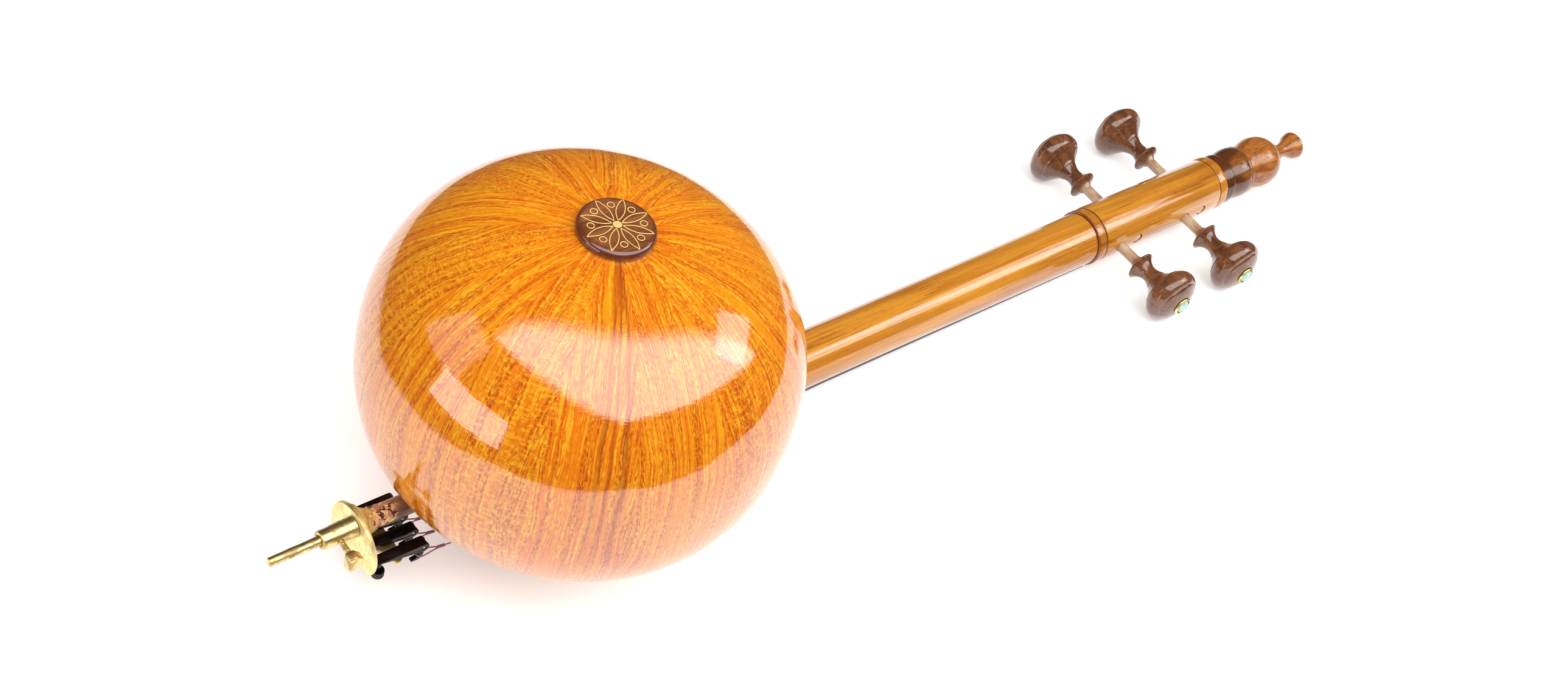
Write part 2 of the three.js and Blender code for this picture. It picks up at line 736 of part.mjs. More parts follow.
function clampScrew() {
    const shank = turnedAcross(rodProfile(clampShankRadius, -clampHeadOut - overrun, -tubeBore), smallSides);
    const shape = new THREE.Shape();
    const x = clampHeadWidth / 2;
    const z = clampHeadHeight / 2;
    shape.moveTo(-x + clampHeadCorner, -z);
    shape.lineTo(x - clampHeadCorner, -z);
    shape.lineTo(x, -z + clampHeadCorner);
    shape.lineTo(x, z - clampHeadBevel);
    shape.quadraticCurveTo(x, z, x - clampHeadBevel, z);
    shape.lineTo(-x + clampHeadCorner, z);
    shape.lineTo(-x, z - clampHeadCorner);
    shape.lineTo(-x, -z + clampHeadCorner);
    shape.closePath();
    const head = acrossY(shape, clampHeadThickness / 2);
    const screw = joined(shank, head.translate(0, -clampHeadOut - clampHeadThickness / 2, 0));
    return screw.translate(clampX, 0, tailZ);
}

function tunerDeck() {
    const from = plateInnerX + gap;
    const to = from + deckLength;
    const side = deckHalfWidth - deckCorner;
    const shape = new THREE.Shape();
    shape.moveTo(from, -deckHalfWidth);
    shape.absarc(to - deckCorner, -side, deckCorner, -Math.PI / 2, 0);
    shape.absarc(to - deckCorner, side, deckCorner, 0, Math.PI / 2);
    shape.lineTo(from, deckHalfWidth);
    shape.closePath();
    const options = { depth: deckThickness, bevelEnabled: false, curveSegments: arcSteps };
    const blank = new THREE.ExtrudeGeometry(shape, options).translate(0, 0, plateChordZ);
    const holes = [];
    for (let i = 0; i < tunerCount; i += 1) {
        const hole = turnedUp(rodProfile(screwRadius + gap, plateChordZ - overrun, tunerBottomZ), holeSides);
        holes.push(hole.translate(screwX, lane(i, tunerSpacing), 0));
    }
    return cut(blank, ...holes);
}

function addTail() {
    add('tail_tube', tailTube(), 'oxide');
    add('tail_plate', tailPlate(), 'brass');
    add('spike_socket', spikeSocket(), 'brass');
    add('spike_rod', spikeRod(), 'brass');
    add('clamp_screw', clampScrew(), 'brass');
    add('tuner_deck', tunerDeck(), 'brass');
}

// Fine tuners, each around its own middle plane

function tunerBody() {
    const shape = new THREE.Shape();
    shape.moveTo(tunerStartX, tunerBottomZ);
    shape.absarc(pinX, pinZ, tunerEndRadius, -Math.PI / 2, Math.PI / 2);
    shape.lineTo(tunerStartX, tunerBottomZ + 2 * tunerEndRadius);
    shape.closePath();
    const half = leverThickness / 2 + gap;
    const pocketStart = screwX - leverArmOverhang - gap;
    const pocketTop = pinZ + leverEyeRadius + gap;
    const pocket = box(pocketStart, tunerEndX + overrun, half, tunerFloorZ, pocketTop);
    const mouth = box(tunerEndX - tunerMouthLength, tunerEndX + overrun, half,
        tunerBottomZ - overrun, pocketTop);
    const pinHole = turnedAcross(rodProfile(pinRadius + gap, -tunerWidth, tunerWidth), holeSides);
    const screwHole = turnedUp(rodProfile(screwRadius + gap, tunerBottomZ - overrun, armBottomZ), holeSides);
    return cut(acrossY(shape, tunerWidth / 2), pocket, mouth,
        pinHole.translate(pinX, 0, pinZ), screwHole.translate(screwX, 0, 0));
}

// The hook hangs from the pin and curls back towards the tail, to hold the string's loop.
function hookShape() {
    const bottom = pinZ - hookDrop;
    const shape = new THREE.Shape();
    shape.moveTo(pinX - hookBack, pinZ);
    shape.lineTo(pinX - hookBack, bottom + 2 * hookLip);
    shape.quadraticCurveTo(pinX - hookBack, bottom + hookLip, pinX - hookReach, bottom + hookLip);
    shape.quadraticCurveTo(pinX - hookReach - hookLip / 2, bottom + hookLip / 2, pinX - hookReach, bottom);
    shape.lineTo(pinX - hookBack, bottom);
    shape.quadraticCurveTo(pinX + hookFront, bottom, pinX + hookFront, hookZ + hookLip);
    shape.lineTo(pinX + hookFront, pinZ);
    shape.closePath();
    return shape;
}

function tunerLever() {
    const half = leverThickness / 2;
    const arm = box(screwX - leverArmOverhang, pinX, half, armBottomZ, armBottomZ + leverArmHeight);
    const eye = turnedAcross(rodProfile(leverEyeRadius, -half, half), smallSides).translate(pinX, 0, pinZ);
    const pinHole = turnedAcross(rodProfile(pinRadius + gap, -tunerWidth, tunerWidth), holeSides);
    return cut(joined(arm, eye, acrossY(hookShape(), half)), pinHole.translate(pinX, 0, pinZ));
}

function tunerPin() {
    const half = tunerWidth / 2;
    return turnedAcross(rodProfile(pinRadius, -half, half), holeSides).translate(pinX, 0, pinZ);
}

function tunerScrew() {
    const headTop = plateChordZ - screwNeck;
    const shank = turnedUp(rodProfile(screwRadius, headTop - gap, armBottomZ - gap), holeSides);
    const shape = new THREE.Shape();
    for (let i = 0; i < 2 * screwKnurlCount; i += 1) {
        const angle = Math.PI * i / screwKnurlCount;
        const radius = i % 2 ? screwHeadRadius - screwKnurl : screwHeadRadius;
        const point = [radius * Math.cos(angle), radius * Math.sin(angle)];
        if (i === 0) {
            shape.moveTo(...point);
        } else {
            shape.lineTo(...point);
        }
    }
    shape.closePath();
    const head = new THREE.ExtrudeGeometry(shape, { depth: screwHeadHeight, bevelEnabled: false });
    return joined(shank, head.translate(0, 0, headTop - screwHeadHeight)).translate(screwX, 0, 0);
}

// Where a string's straight run lies at a place between its hook and the bridge.
function runPoint(i, x, aside = 0) {
    const hook = new THREE.Vector3(pinX, 0, hookZ);
    const bridgeTo = new THREE.Vector3(bridgeX - bridgeThickness / 2, 0, bridgeStringZ(i));
    bridgeTo.y = lane(i, bridgeSpacing) - lane(i, tunerSpacing);
    const point = hook.clone().lerp(bridgeTo, (x - hook.x) / (bridgeTo.x - hook.x));
    point.y += aside;
    return point;
}

// The loop at the string's end: round the back of the hook, with its two ends side by side.
function stringLoop(i) {
    const points = [runPoint(i, loopEndX, -loopEndSpread)];
    for (let step = 0; step <= 2 * arcSteps; step += 1) {
        const angle = -Math.PI / 2 - Math.PI * step / (2 * arcSteps);
        points.push(runPoint(i, pinX + loopRadius * Math.cos(angle), loopRadius * Math.sin(angle)));
    }
    points.push(runPoint(i, loopEndX, loopEndSpread));
    return stringTube(points);
}

function addTuners() {
    for (let i = 0; i < tunerCount; i += 1) {
        const group = new THREE.Group();
        group.position.y = lane(i, tunerSpacing);
        instrument.add(group);
        add(`tuner_body_${i + 1}`, tunerBody(), 'black', group);
        add(`tuner_lever_${i + 1}`, tunerLever(), 'black', group);
        add(`tuner_pin_${i + 1}`, tunerPin(), 'steel', group);
        add(`tuner_screw_${i + 1}`, tunerScrew(), 'black', group);
        add(`string_loop_${i + 1}`, stringLoop(i), 'string', group);
    }
}

// Bridge and strings

// How far the bridge's crest lies from the table at a place across it.
function crestDrop(y) {
    return bridgeCrestRadius - Math.sqrt(bridgeCrestRadius ** 2 - y ** 2);
}

function crestZ(y) {
    return restZ + crestDrop(y);
}

function bridgeStringZ(i) {
    const y = Math.abs(lane(i, bridgeSpacing)) + stringRadius + gap;
    return crestZ(y) + stringRadius;
}

function bridge() {
    const foot = bridgeFootWidth / 2;
    const top = bridgeTopWidth / 2;
    const arch = bridgeArchWidth / 2;
    const shoulderZ = crestZ(top) + bridgeShoulder;
    const shape = new THREE.Shape();
    shape.moveTo(arch, bridgeFootZ);
    shape.lineTo(foot, bridgeFootZ);
    shape.lineTo(foot, bridgeFootZ - bridgeFootHeight);
    shape.quadraticCurveTo(top, bridgeFootZ - bridgeFootHeight, top, shoulderZ);
    for (let i = 0; i <= 2 * arcSteps; i += 1) {
        const y = top * (1 - i / arcSteps);
        shape.lineTo(y, crestZ(y));
    }
    shape.lineTo(-top, shoulderZ);
    shape.quadraticCurveTo(-top, bridgeFootZ - bridgeFootHeight, -foot, bridgeFootZ - bridgeFootHeight);
    shape.lineTo(-foot, bridgeFootZ);
    shape.lineTo(-arch, bridgeFootZ);
    shape.quadraticCurveTo(0, bridgeFootZ - 2 * bridgeArchHeight, arch, bridgeFootZ);
    const half = bridgeThickness / 2;
    const blank = alongX(shape, bridgeX - half, bridgeX + half);
    const notches = [];
    for (let i = 0; i < tunerCount; i += 1) {
        const depth = bridgeStringZ(i) + stringRadius + gap;
        notches.push(notch(bridgeX - half, bridgeX + half, lane(i, bridgeSpacing), depth, restZ));
    }
    return cut(blank, ...notches);
}

// A route through listed points, which a tube follows corner by corner.
class Route extends THREE.Curve {
    constructor(points) {
        super();
        this.points = points;
    }

    getPoint(share, target = new THREE.Vector3()) {
        return target.copy(this.points[Math.round(share * (this.points.length - 1))]);
    }

    getPointAt(share, target) {
        return this.getPoint(share, target);
    }

    getTangentAt(share, target = new THREE.Vector3()) {
        const i = Math.round(share * (this.points.length - 1));
        const here = this.points[i];
        target.set(0, 0, 0);
        for (const [from, to] of [[this.points[i - 1], here], [here, this.points[i + 1]]]) {
            if (from && to) {
                target.add(to.clone().sub(from).normalize());
            }
        }
        return target.normalize();
    }
}

// From the loop over the bridge and the nut, then round the peg's shaft in a few turns.
function stringPoints(i) {
    const half = bridgeThickness / 2;
    const bridgeY = lane(i, bridgeSpacing);
    const nutY = lane(i, nutSpacing);
    const start = runPoint(i, loopEndX + gap);
    start.y += lane(i, tunerSpacing);
    const points = [
        start,
        new THREE.Vector3(bridgeX - half, bridgeY, bridgeStringZ(i)),
        new THREE.Vector3(bridgeX + half, bridgeY, bridgeStringZ(i)),
        new THREE.Vector3(nutX, nutY, nutStringZ),
        new THREE.Vector3(nutX + nutThickness, nutY, nutStringZ),
    ];
    const reach = pegShaftRadius + gap + stringRadius;
    const inward = -Math.sign(nutY);
    for (let step = 0; step <= windingTurns * windingSteps; step += 1) {
        const turns = step / windingSteps;
        const angle = 2 * Math.PI * turns;
        const y = nutY + inward * windingPitch * turns;
        const x = neckHeadX + pegsAlong[i] + reach * Math.sin(angle);
        points.push(new THREE.Vector3(x, y, neckZ - reach * Math.cos(angle)));
    }
    return points;
}

function stringTube(points) {
    const section = new THREE.Shape();
    for (let i = 0; i < stringSides; i += 1) {
        const angle = 2 * Math.PI * i / stringSides;
        const corner = [stringRadius * Math.cos(angle), stringRadius * Math.sin(angle)];
        if (i === 0) {
            section.moveTo(...corner);
        } else {
            section.lineTo(...corner);
        }
    }
    section.closePath();
    const options = { steps: points.length - 1, extrudePath: new Route(points), bevelEnabled: false };
    return new THREE.ExtrudeGeometry(section, options);
}

// The least distance between two turns of a winding, surface to surface.
function leastGap(points) {
    let least = Infinity;
    const apart = windingSteps / 2;
    for (let i = 0; i < points.length; i += 1) {
        for (let j = i + apart; j < points.length; j += 1) {
            least = Math.min(least, points[i].distanceTo(points[j]) - 2 * stringRadius);
        }
    }
    return least;
}

function addStrings() {
    add('bridge', bridge(), 'maple');
    let least = Infinity;
    for (let i = 0; i < tunerCount; i += 1) {
        const points = stringPoints(i);
        least = Math.min(least, leastGap(points));
        add(`string_${i + 1}`, stringTube(points), 'string');
    }
    console.log(`least gap between turns of a string: ${least.toFixed(2)} mm`);
}

addBowl();
addNeck();
addPegs();
addTail();
addTuners();
addStrings();

// On the table, with the origin under the middle of the length
instrument.position.set(-(rodTipX + pegboxEndX + finialLength) / 2, 0, -restZ);
const kamancheh = new THREE.Group();
kamancheh.add(instrument);

export default kamancheh;
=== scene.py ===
# %% [markdown]
# # A kamancheh, lying face down
# The kamancheh is a bowed fiddle with a round bowl, a turned neck and a spike. This file dresses
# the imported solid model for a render. The solid model is the fixed frame: each piece made here
# takes the place of one of its nodes and moves with the same body.

# %% Load the frame
import json
import math

import bmesh
import bpy
from mathutils import Matrix, Vector, noise

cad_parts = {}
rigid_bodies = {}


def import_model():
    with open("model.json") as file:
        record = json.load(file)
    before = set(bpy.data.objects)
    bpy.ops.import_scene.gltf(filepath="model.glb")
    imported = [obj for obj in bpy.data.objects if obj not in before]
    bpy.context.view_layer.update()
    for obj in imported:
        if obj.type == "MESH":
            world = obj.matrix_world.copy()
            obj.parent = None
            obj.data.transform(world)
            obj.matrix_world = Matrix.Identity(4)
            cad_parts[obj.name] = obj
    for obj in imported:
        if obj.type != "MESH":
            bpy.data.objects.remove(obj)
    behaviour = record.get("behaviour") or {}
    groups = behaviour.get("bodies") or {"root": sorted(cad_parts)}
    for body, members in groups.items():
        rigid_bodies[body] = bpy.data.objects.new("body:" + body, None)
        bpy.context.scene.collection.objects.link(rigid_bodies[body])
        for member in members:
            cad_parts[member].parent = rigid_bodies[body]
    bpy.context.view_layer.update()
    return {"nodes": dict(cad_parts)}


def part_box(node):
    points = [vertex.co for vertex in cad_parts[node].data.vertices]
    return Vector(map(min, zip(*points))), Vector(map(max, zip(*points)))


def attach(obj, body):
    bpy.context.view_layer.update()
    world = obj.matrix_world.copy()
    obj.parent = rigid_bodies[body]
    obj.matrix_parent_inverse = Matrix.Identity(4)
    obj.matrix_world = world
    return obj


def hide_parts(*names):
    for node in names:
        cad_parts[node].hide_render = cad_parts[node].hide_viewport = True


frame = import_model()
scene = bpy.context.scene
for leftover in [o for o in scene.objects if o.name in ("Cube", "Camera", "Light")]:
    bpy.data.objects.remove(leftover)

# %% [markdown]
# ## Places
# The drawing of the instrument is in millimetres, measured from the middle of the bowl. The row
# frame lies on the floor under the middle of the whole length. One helper turns a drawn place
# into metres in that frame, and every piece below uses it.

# %% Places and the main sizes
MM = 0.001
tip_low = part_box("spike_rod")[0]
ROD_TIP = 151.987
SHIFT_X = tip_low.x / MM + ROD_TIP
LIFT = 93.5
BOWL_R, BOWL_BACK, BOWL_FRONT, BOWL_POWER = 100.0, 82.6, 74.0, 2.3
BOWL_OPENING, BOWL_LIP, BOWL_WALL = 52.0, 39.5, 4.0
NECK_Z, TAIL_Z, DOWEL_Z, PLATE_X = -77.1, -53.7, -68.5, -110.387
CLAMP_X = PLATE_X - 9.2
HEAD_X = 362.5
PEGBOX_END = HEAD_X + 112.5
PEGS_X = [HEAD_X + along for along in (19.6, 75.2, 89.9, 34.1)]
PEG_SIDES = [-1, -1, 1, 1]
TUNERS_Y = [(i - 1.5) * 9 for i in range(4)]
PIN_X, PIN_Z, SCREW_X = -82.687, -68.2, -104.187


def place(x, y, z):
    """A drawn place in millimetres as metres in the row frame."""
    return Vector(((x + SHIFT_X) * MM, y * MM, (z + LIFT) * MM))


print("bowl centre at", [round(v, 4) for v in place(0, 0, 0)])

# %% [markdown]
# ## Camera
# The photograph was taken from above the spike, about 0.9 m away, with the camera rolled a
# little. The numbers come from matching the drawn outlines to the photograph, so that the render
# can be laid over it.

# %% Camera
camera_data = bpy.data.cameras.new("camera")
camera_data.sensor_width = 36
camera_data.lens = 48.373
camera = bpy.data.objects.new("camera", camera_data)
scene.collection.objects.link(camera)
right = Vector((0.76146, -0.60277, 0.23841))
up = Vector((0.32799, 0.67554, 0.66037))
back = right.cross(up).normalized()
turn = Matrix((right, back.cross(right).normalized(), back)).transposed().to_4x4()
camera.matrix_world = Matrix.Translation(place(-454.89, -449.48, 694.06)) @ turn
camera_data.clip_start, camera_data.clip_end = 0.01, 50
scene.camera = camera
print("camera at", [round(v, 3) for v in camera.location])

# %% [markdown]
# ## A small kit for nodes
# Finishes, lights and shapes are all made of nodes here. One short class keeps the wiring
# readable: any input takes a number or a socket, and each new node hands back its outputs.

# %% Node helper
class Wiring:
    """Nodes in one tree."""

    def __init__(self, tree):
        self.tree = tree

    def node(self, kind, inputs=(), **settings):
        made = self.tree.nodes.new(kind)
        for key, value in settings.items():
            setattr(made, key, value)
        for key, value in dict(inputs).items():
            self.feed(made.inputs[key], value)
        return made.outputs

    def feed(self, socket, value):
        if isinstance(value, bpy.types.NodeSocket):
            self.tree.links.new(value, socket)
        else:
            socket.default_value = value

    def math(self, operation, a, b=0.0, c=0.0):
        return self.node("ShaderNodeMath", {0: a, 1: b, 2: c}, operation=operation)[0]

    def times(self, a, *others):
        for other in others:
            a = self.math("MULTIPLY", a, other)
        return a

    def scaled(self, value, scale, shift):
        return self.math("MULTIPLY_ADD", value, scale, shift)

    def plus(self, a, b):
        return self.math("ADD", a, b)

    def minus(self, a, b):
        return self.math("SUBTRACT", a, b)

    def apart(self, a, b):
        return self.math("ABSOLUTE", self.minus(a, b))

    def reach(self, x, y):
        """The distance from an axis, from the two coordinates across it."""
        return self.math("SQRT", self.plus(self.times(x, x), self.times(y, y)))

    def join(self, x=0.0, y=0.0, z=0.0):
        return self.node("ShaderNodeCombineXYZ", {0: x, 1: y, 2: z})[0]

    def split(self, vector):
        return self.node("ShaderNodeSeparateXYZ", {0: vector})


print("node kit ready")

# %% [markdown]
# ## A small kit for materials
# Each finish is a Principled shader whose colour, roughness and bump come from nodes on Object
# coordinates. Metres are small numbers, so patterns are scaled up by the size of the real grain.

# %% Material helper
class Finish(Wiring):
    """A material under construction."""

    def __init__(self, name, **principled):
        self.material = bpy.data.materials.new(name)
        self.material.use_nodes = True
        super().__init__(self.material.node_tree)
        self.shader = self.tree.nodes["Principled BSDF"]
        for label, value in principled.items():
            self.set(label.replace("_", " "), value)

    def set(self, label, value):
        self.feed(self.shader.inputs[label], value)

    def here(self, origin=(0, 0, 0)):
        """Object coordinates, measured from a place on the object."""
        coords = self.node("ShaderNodeTexCoord")["Object"]
        return self.node("ShaderNodeMapping", {"Vector": coords, "Location": [-v for v in origin]})[0]

    def stretch(self, vector, scale):
        return self.node("ShaderNodeMapping", {"Vector": vector, "Scale": scale})[0]

    def noise(self, vector, scale, detail=2.0, rough=0.5, distortion=0.0):
        """A soft random pattern; three scales, in place of one, stretch it."""
        if not isinstance(scale, (int, float)):
            vector, scale = self.stretch(vector, scale), 1.0
        inputs = {"Vector": vector, "Scale": scale, "Detail": detail, "Roughness": rough}
        return self.node("ShaderNodeTexNoise", {**inputs, "Distortion": distortion})["Fac"]

    def between(self, value, low, high, start=0.0, end=1.0):
        """The start below low, the end above high, smooth between them."""
        inputs = {"Value": value, "From Min": low, "From Max": high, "To Min": start, "To Max": end}
        return self.node("ShaderNodeMapRange", inputs, interpolation_type="SMOOTHSTEP")["Result"]

    def noted(self, name):
        """A number that the mesh keeps for each point."""
        return self.node("ShaderNodeAttribute", attribute_name=name)["Fac"]

    def mix(self, share, a, b):
        a, b = (v if isinstance(v, bpy.types.NodeSocket) else (*v, 1.0) for v in (a, b))
        return self.node("ShaderNodeMix", {0: share, 6: a, 7: b}, data_type="RGBA")[2]

    def stain(self, base, share, most, r, g, b):
        """A screen colour over the base: as much as most, where the share is 1."""
        return self.mix(self.times(share, most), base, colour(r, g, b))

    def bump(self, height, distance, strength=1.0, socket="Normal"):
        inputs = {"Height": height, "Distance": distance, "Strength": strength}
        self.set(socket, self.node("ShaderNodeBump", inputs)["Normal"])

    def painted(self, base, rough=None):
        """The material with its colour, and with its roughness where that varies."""
        self.set("Base Color", base)
        if rough is not None:
            self.set("Roughness", rough)
        return self.material


def colour(r, g, b):
    """A colour read off a screen, 0 to 255, as the linear numbers that a shader takes."""
    return tuple(((v / 255 + 0.055) / 1.055) ** 2.4 if v > 10 else v / 255 / 12.92 for v in (r, g, b))


print("a mid orange is", [round(v, 3) for v in colour(240, 140, 20)])

# %% [markdown]
# ## The bowl's wood
# The bowl is bent from fourteen staves. On each the grain runs parallel to the stave's own
# middle line, so the lines meet at an angle at the seams near the disc. The pattern is drawn
# from the angle round the bowl: it gives the stave's number, and the distance from the stave's
# middle line. Noise that is stretched along the stave makes the pores and year lines, and some
# staves show the woven flecks of wood rays. A thick clear lacquer lies over it, as a coat.

# %% Bowl wood
STAVES = 14
SEAM_TURN = 0.4389
MEAN_R = 0.093
FEW_FLECKS = 0.14


def stave_wood():
    f = Finish("lacquered_staves", Roughness=0.42, Specular_IOR_Level=0.05, Coat_Weight=1.0,
               Coat_Roughness=0.045, Coat_IOR=1.9)
    at = f.here(place(0, 0, 0))
    x, y, z = f.split(at)
    reach = f.reach(x, y)
    angle = f.math("ARCTAN2", y, x)
    along = f.times(f.math("ARCTAN2", reach, z), MEAN_R)
    turns = f.scaled(angle, STAVES / math.tau, SEAM_TURN)
    number = f.math("FLOORED_MODULO", f.math("FLOOR", turns), STAVES)
    from_middle = f.minus(f.math("FRACT", turns), 0.5)
    aside = f.times(from_middle, math.tau / STAVES, reach)
    wobble_at = f.join(f.times(aside, 45), f.times(along, 26), number)
    wobble = f.minus(f.noise(wobble_at, 1.0), 0.5)
    aside = f.scaled(wobble, 0.006, aside)
    pick = f.node("ShaderNodeTexWhiteNoise", {"W": f.times(number, 1.7)}, noise_dimensions="1D")
    tint, depth = f.node("ShaderNodeSeparateColor", {0: pick["Color"]})[:2]

    def grain(across, down, detail=2.0, rough=0.5):
        at = f.join(f.times(aside, across), f.times(along, down), f.times(number, 9.3))
        return f.noise(at, 1.0, detail, rough)

    def ridge(across, down, width):
        """Thin lines along the grain, where a stretched noise crosses its middle."""
        return f.between(f.apart(grain(across, down, 1.0), 0.5), width, width * 0.2)

    bands = f.between(grain(210, 5), 0.4, 0.62)
    dashes = f.between(grain(1500, 520, 2.0, 0.55), 0.44, 0.6)
    year_lines = f.times(ridge(300, 4, 0.08), f.scaled(dashes, 0.45, 0.55))
    hair_lines = ridge(900, 12, 0.09)
    away = f.between(along, 0.03, 0.11)
    pores = f.times(dashes, f.scaled(year_lines, 0.7, 0.3))
    pores = f.times(pores, f.scaled(away, 0.45, 0.55))
    light_lines = f.times(ridge(900, 14, 0.08), f.between(grain(900, 300, 1.0), 0.35, 0.55))
    cloud = f.noise(at, (16, 16, 12), 3.0)
    base = f.mix(f.between(cloud, 0.3, 0.7), colour(255, 172, 6), colour(252, 146, 0))
    base = f.stain(base, bands, 0.6, 236, 116, 0)
    base = f.stain(base, hair_lines, 0.28, 220, 104, 0)
    base = f.stain(base, year_lines, 0.8, 190, 74, 0)
    base = f.stain(base, tint, 0.28, 226, 104, 0)
    fine = f.times(f.between(grain(1500, 60, 3.0, 0.6), 0.4, 0.64), f.scaled(away, -0.35, 0.75))
    base = f.mix(fine, base, colour(210, 88, 0))
    base = f.stain(base, light_lines, 0.6, 255, 198, 44)

    # Wood rays lie across the grain: everywhere a little, and strongly in some zones of degrees
    zones = [(-160, -138, 1.0), (-88, -58, 0.7), (-46, -31, 0.8), (18, 46, 0.7), (92, 119, 0.9),
             (150, 168, 1.0)]
    ramp = f.node("ShaderNodeValToRGB", {"Fac": f.scaled(angle, 1 / math.tau, 0.5)})
    stops = ramp[0].node.color_ramp.elements
    for stop, position in zip(stops, (0.0, 1.0)):
        stop.position, stop.color = position, (FEW_FLECKS, FEW_FLECKS, FEW_FLECKS, 1)
    for low, high, share in zones:
        for edge, level in (low - 3, FEW_FLECKS), (low + 2, share), (high - 1, share), (high + 1, FEW_FLECKS):
            stop = stops.new(edge / 360 + 0.5)
            stop.color = (level, level, level, 1)
    fleck_share = f.times(ramp["Color"], f.between(along, 0.016, 0.04))
    small, large = grain(500, 1900, 1.0), grain(240, 1000, 1.0)
    bright = f.between(f.scaled(f.minus(large, small), away, small), 0.48, 0.6)
    dark = f.between(grain(1100, 460, 1.0), 0.5, 0.62)
    base = f.stain(base, f.times(fleck_share, bright), 0.55, 255, 188, 34)
    base = f.stain(base, f.times(fleck_share, dark), 0.4, 208, 94, 0)

    # The dark double streak that runs down from the disc beside one seam
    streak = None
    degrees = f.scaled(wobble, 3.0, f.times(angle, 180 / math.pi))
    for middle, width in ((-124.3, 1.4), (-121.2, 0.9), (-117.6, 1.5)):
        line = f.between(f.apart(degrees, middle), width, width * 0.2)
        streak = line if streak is None else f.math("MAXIMUM", streak, line)
    streak = f.times(streak, f.between(along, 0.2, 0.085))
    smudge = f.between(f.apart(degrees, -121.0), 6.0, 2.0)
    streak = f.math("MAXIMUM", streak, f.times(smudge, f.between(along, 0.06, 0.03)))
    base = f.stain(base, streak, 0.6, 150, 50, 4)

    base = f.mix(f.times(pores, f.scaled(depth, 0.25, 0.48)), base, colour(168, 56, 0))
    seam = f.between(f.math("ABSOLUTE", from_middle), 0.4925, 0.499)
    base = f.stain(base, seam, 0.3, 170, 74, 4)
    f.bump(f.minus(1.0, pores), 0.00006, 0.5)

    # The lacquer sinks a little over the pores, so a mirrored edge in it is not quite straight
    sunk = f.scaled(bright, 0.5, f.times(year_lines, 0.6))
    sunk = f.scaled(f.noise(at, (70, 70, 70), 1.0), 14.0, sunk)
    f.bump(sunk, 0.00001, 1.0, "Coat Normal")
    return f.painted(base)


STAVE = stave_wood()
print("bowl wood has", len(STAVE.node_tree.nodes), "nodes")

# %% [markdown]
# ## Turned wood
# The neck, the pegbox and the finial are a golden brown wood with long dark streaks. The pegs
# are darker, and their shafts are worn pale where they turn in the holes. One function draws
# both, with the grain along the piece: noise is stretched along that axis.

# %% Turned wood
def turned_wood(name, along_axis, light, mid, dark, origin, shine, coat):
    f = Finish(name, Coat_Weight=coat, Coat_Roughness=0.05, Coat_IOR=1.65, Specular_IOR_Level=0.1)
    at = f.here(origin)
    scale = [1.0, 1.0, 1.0]
    scale[along_axis] = 0.035
    bent = f.noise(at, [s * 60 for s in scale])
    shift = f.join(*(f.times(bent, share) for share in (0.004, 0.004, 0.003)))
    grain_at = f.node("ShaderNodeVectorMath", {0: f.stretch(at, scale), 1: shift}, operation="ADD")[0]
    bands = f.between(f.noise(grain_at, 190, 3.0, 0.6), 0.36, 0.66)
    hairs = f.between(f.noise(grain_at, 900, 3.0, 0.65), 0.5, 0.7)
    short = f.stretch(grain_at, [3 if s < 1 else 1 for s in scale])
    pores = f.between(f.noise(short, 2300), 0.6, 0.72)
    base = f.mix(bands, light, mid)
    base = f.mix(f.times(hairs, 0.6), base, dark)
    base = f.mix(f.times(pores, 0.55), base, [v * 0.55 for v in dark])
    f.set("Roughness", f.scaled(hairs, 0.12, shine))
    f.bump(f.minus(1.0, pores), 0.00005, 0.4)
    return f, at, base


def neck_wood():
    f, at, base = turned_wood("golden_brown_wood", 0, colour(216, 144, 42), colour(178, 102, 20),
                              colour(106, 52, 8), place(0, 0, NECK_Z), 0.3, 1.0)
    x = f.split(at)[0]
    worn = f.between(f.noise(at, (6, 40, 40)), 0.45, 0.7)
    base = f.stain(base, worn, 0.4, 226, 154, 48)
    # Painted shade: the grooves by the pegbox's bands, and the step where it meets the neck, are darkened as
    # shade in a recess.
    for groove, width in ((362.4, 1.3), (369.0, 0.9), (468.35, 0.7)):
        near = f.between(f.apart(x, groove * MM), width * MM, width * 0.3 * MM)
        base = f.stain(base, near, 0.8, 84, 34, 12)
    red = f.times(f.between(x, 0.3615, 0.3625), f.between(x, 0.3695, 0.3685))
    return f.painted(f.stain(base, red, 0.35, 150, 62, 14))


def finial_wood():
    f, at, base = turned_wood("mid_brown_wood", 0, colour(196, 122, 50), colour(152, 84, 32),
                              colour(84, 44, 18), place(515, 0, NECK_Z), 0.3, 0.9)
    x = f.split(at)[0]
    cloud = f.between(f.noise(at, (40, 70, 70)), 0.4, 0.66)
    clear = f.times(cloud, f.between(x, -0.0305, -0.0285))
    stained = f.times(f.between(x, -0.0135, -0.0155), f.scaled(clear, -0.6, 0.93))
    base = f.mix(stained, base, colour(84, 40, 12))
    ring = f.times(f.between(x, -0.0170, -0.0166), f.between(x, -0.0142, -0.0147))
    f.set("Coat Roughness", 0.14)
    return f.painted(f.stain(base, ring, 0.6, 150, 92, 48))


def peg_wood():
    f, at, base = turned_wood("walnut_pegs", 1, colour(132, 82, 50), colour(98, 56, 32),
                              colour(46, 24, 13), (0, 0, 0), 0.3, 1.0)
    shaft = f.between(f.math("ABSOLUTE", f.split(at)[1]), 0.0315, 0.0275)
    rubbed = f.noise(at, (160, 60, 160), 3.0)
    pale = f.mix(f.between(rubbed, 0.35, 0.65), colour(212, 186, 156), colour(158, 112, 76))
    return f.painted(f.mix(shaft, base, pale))


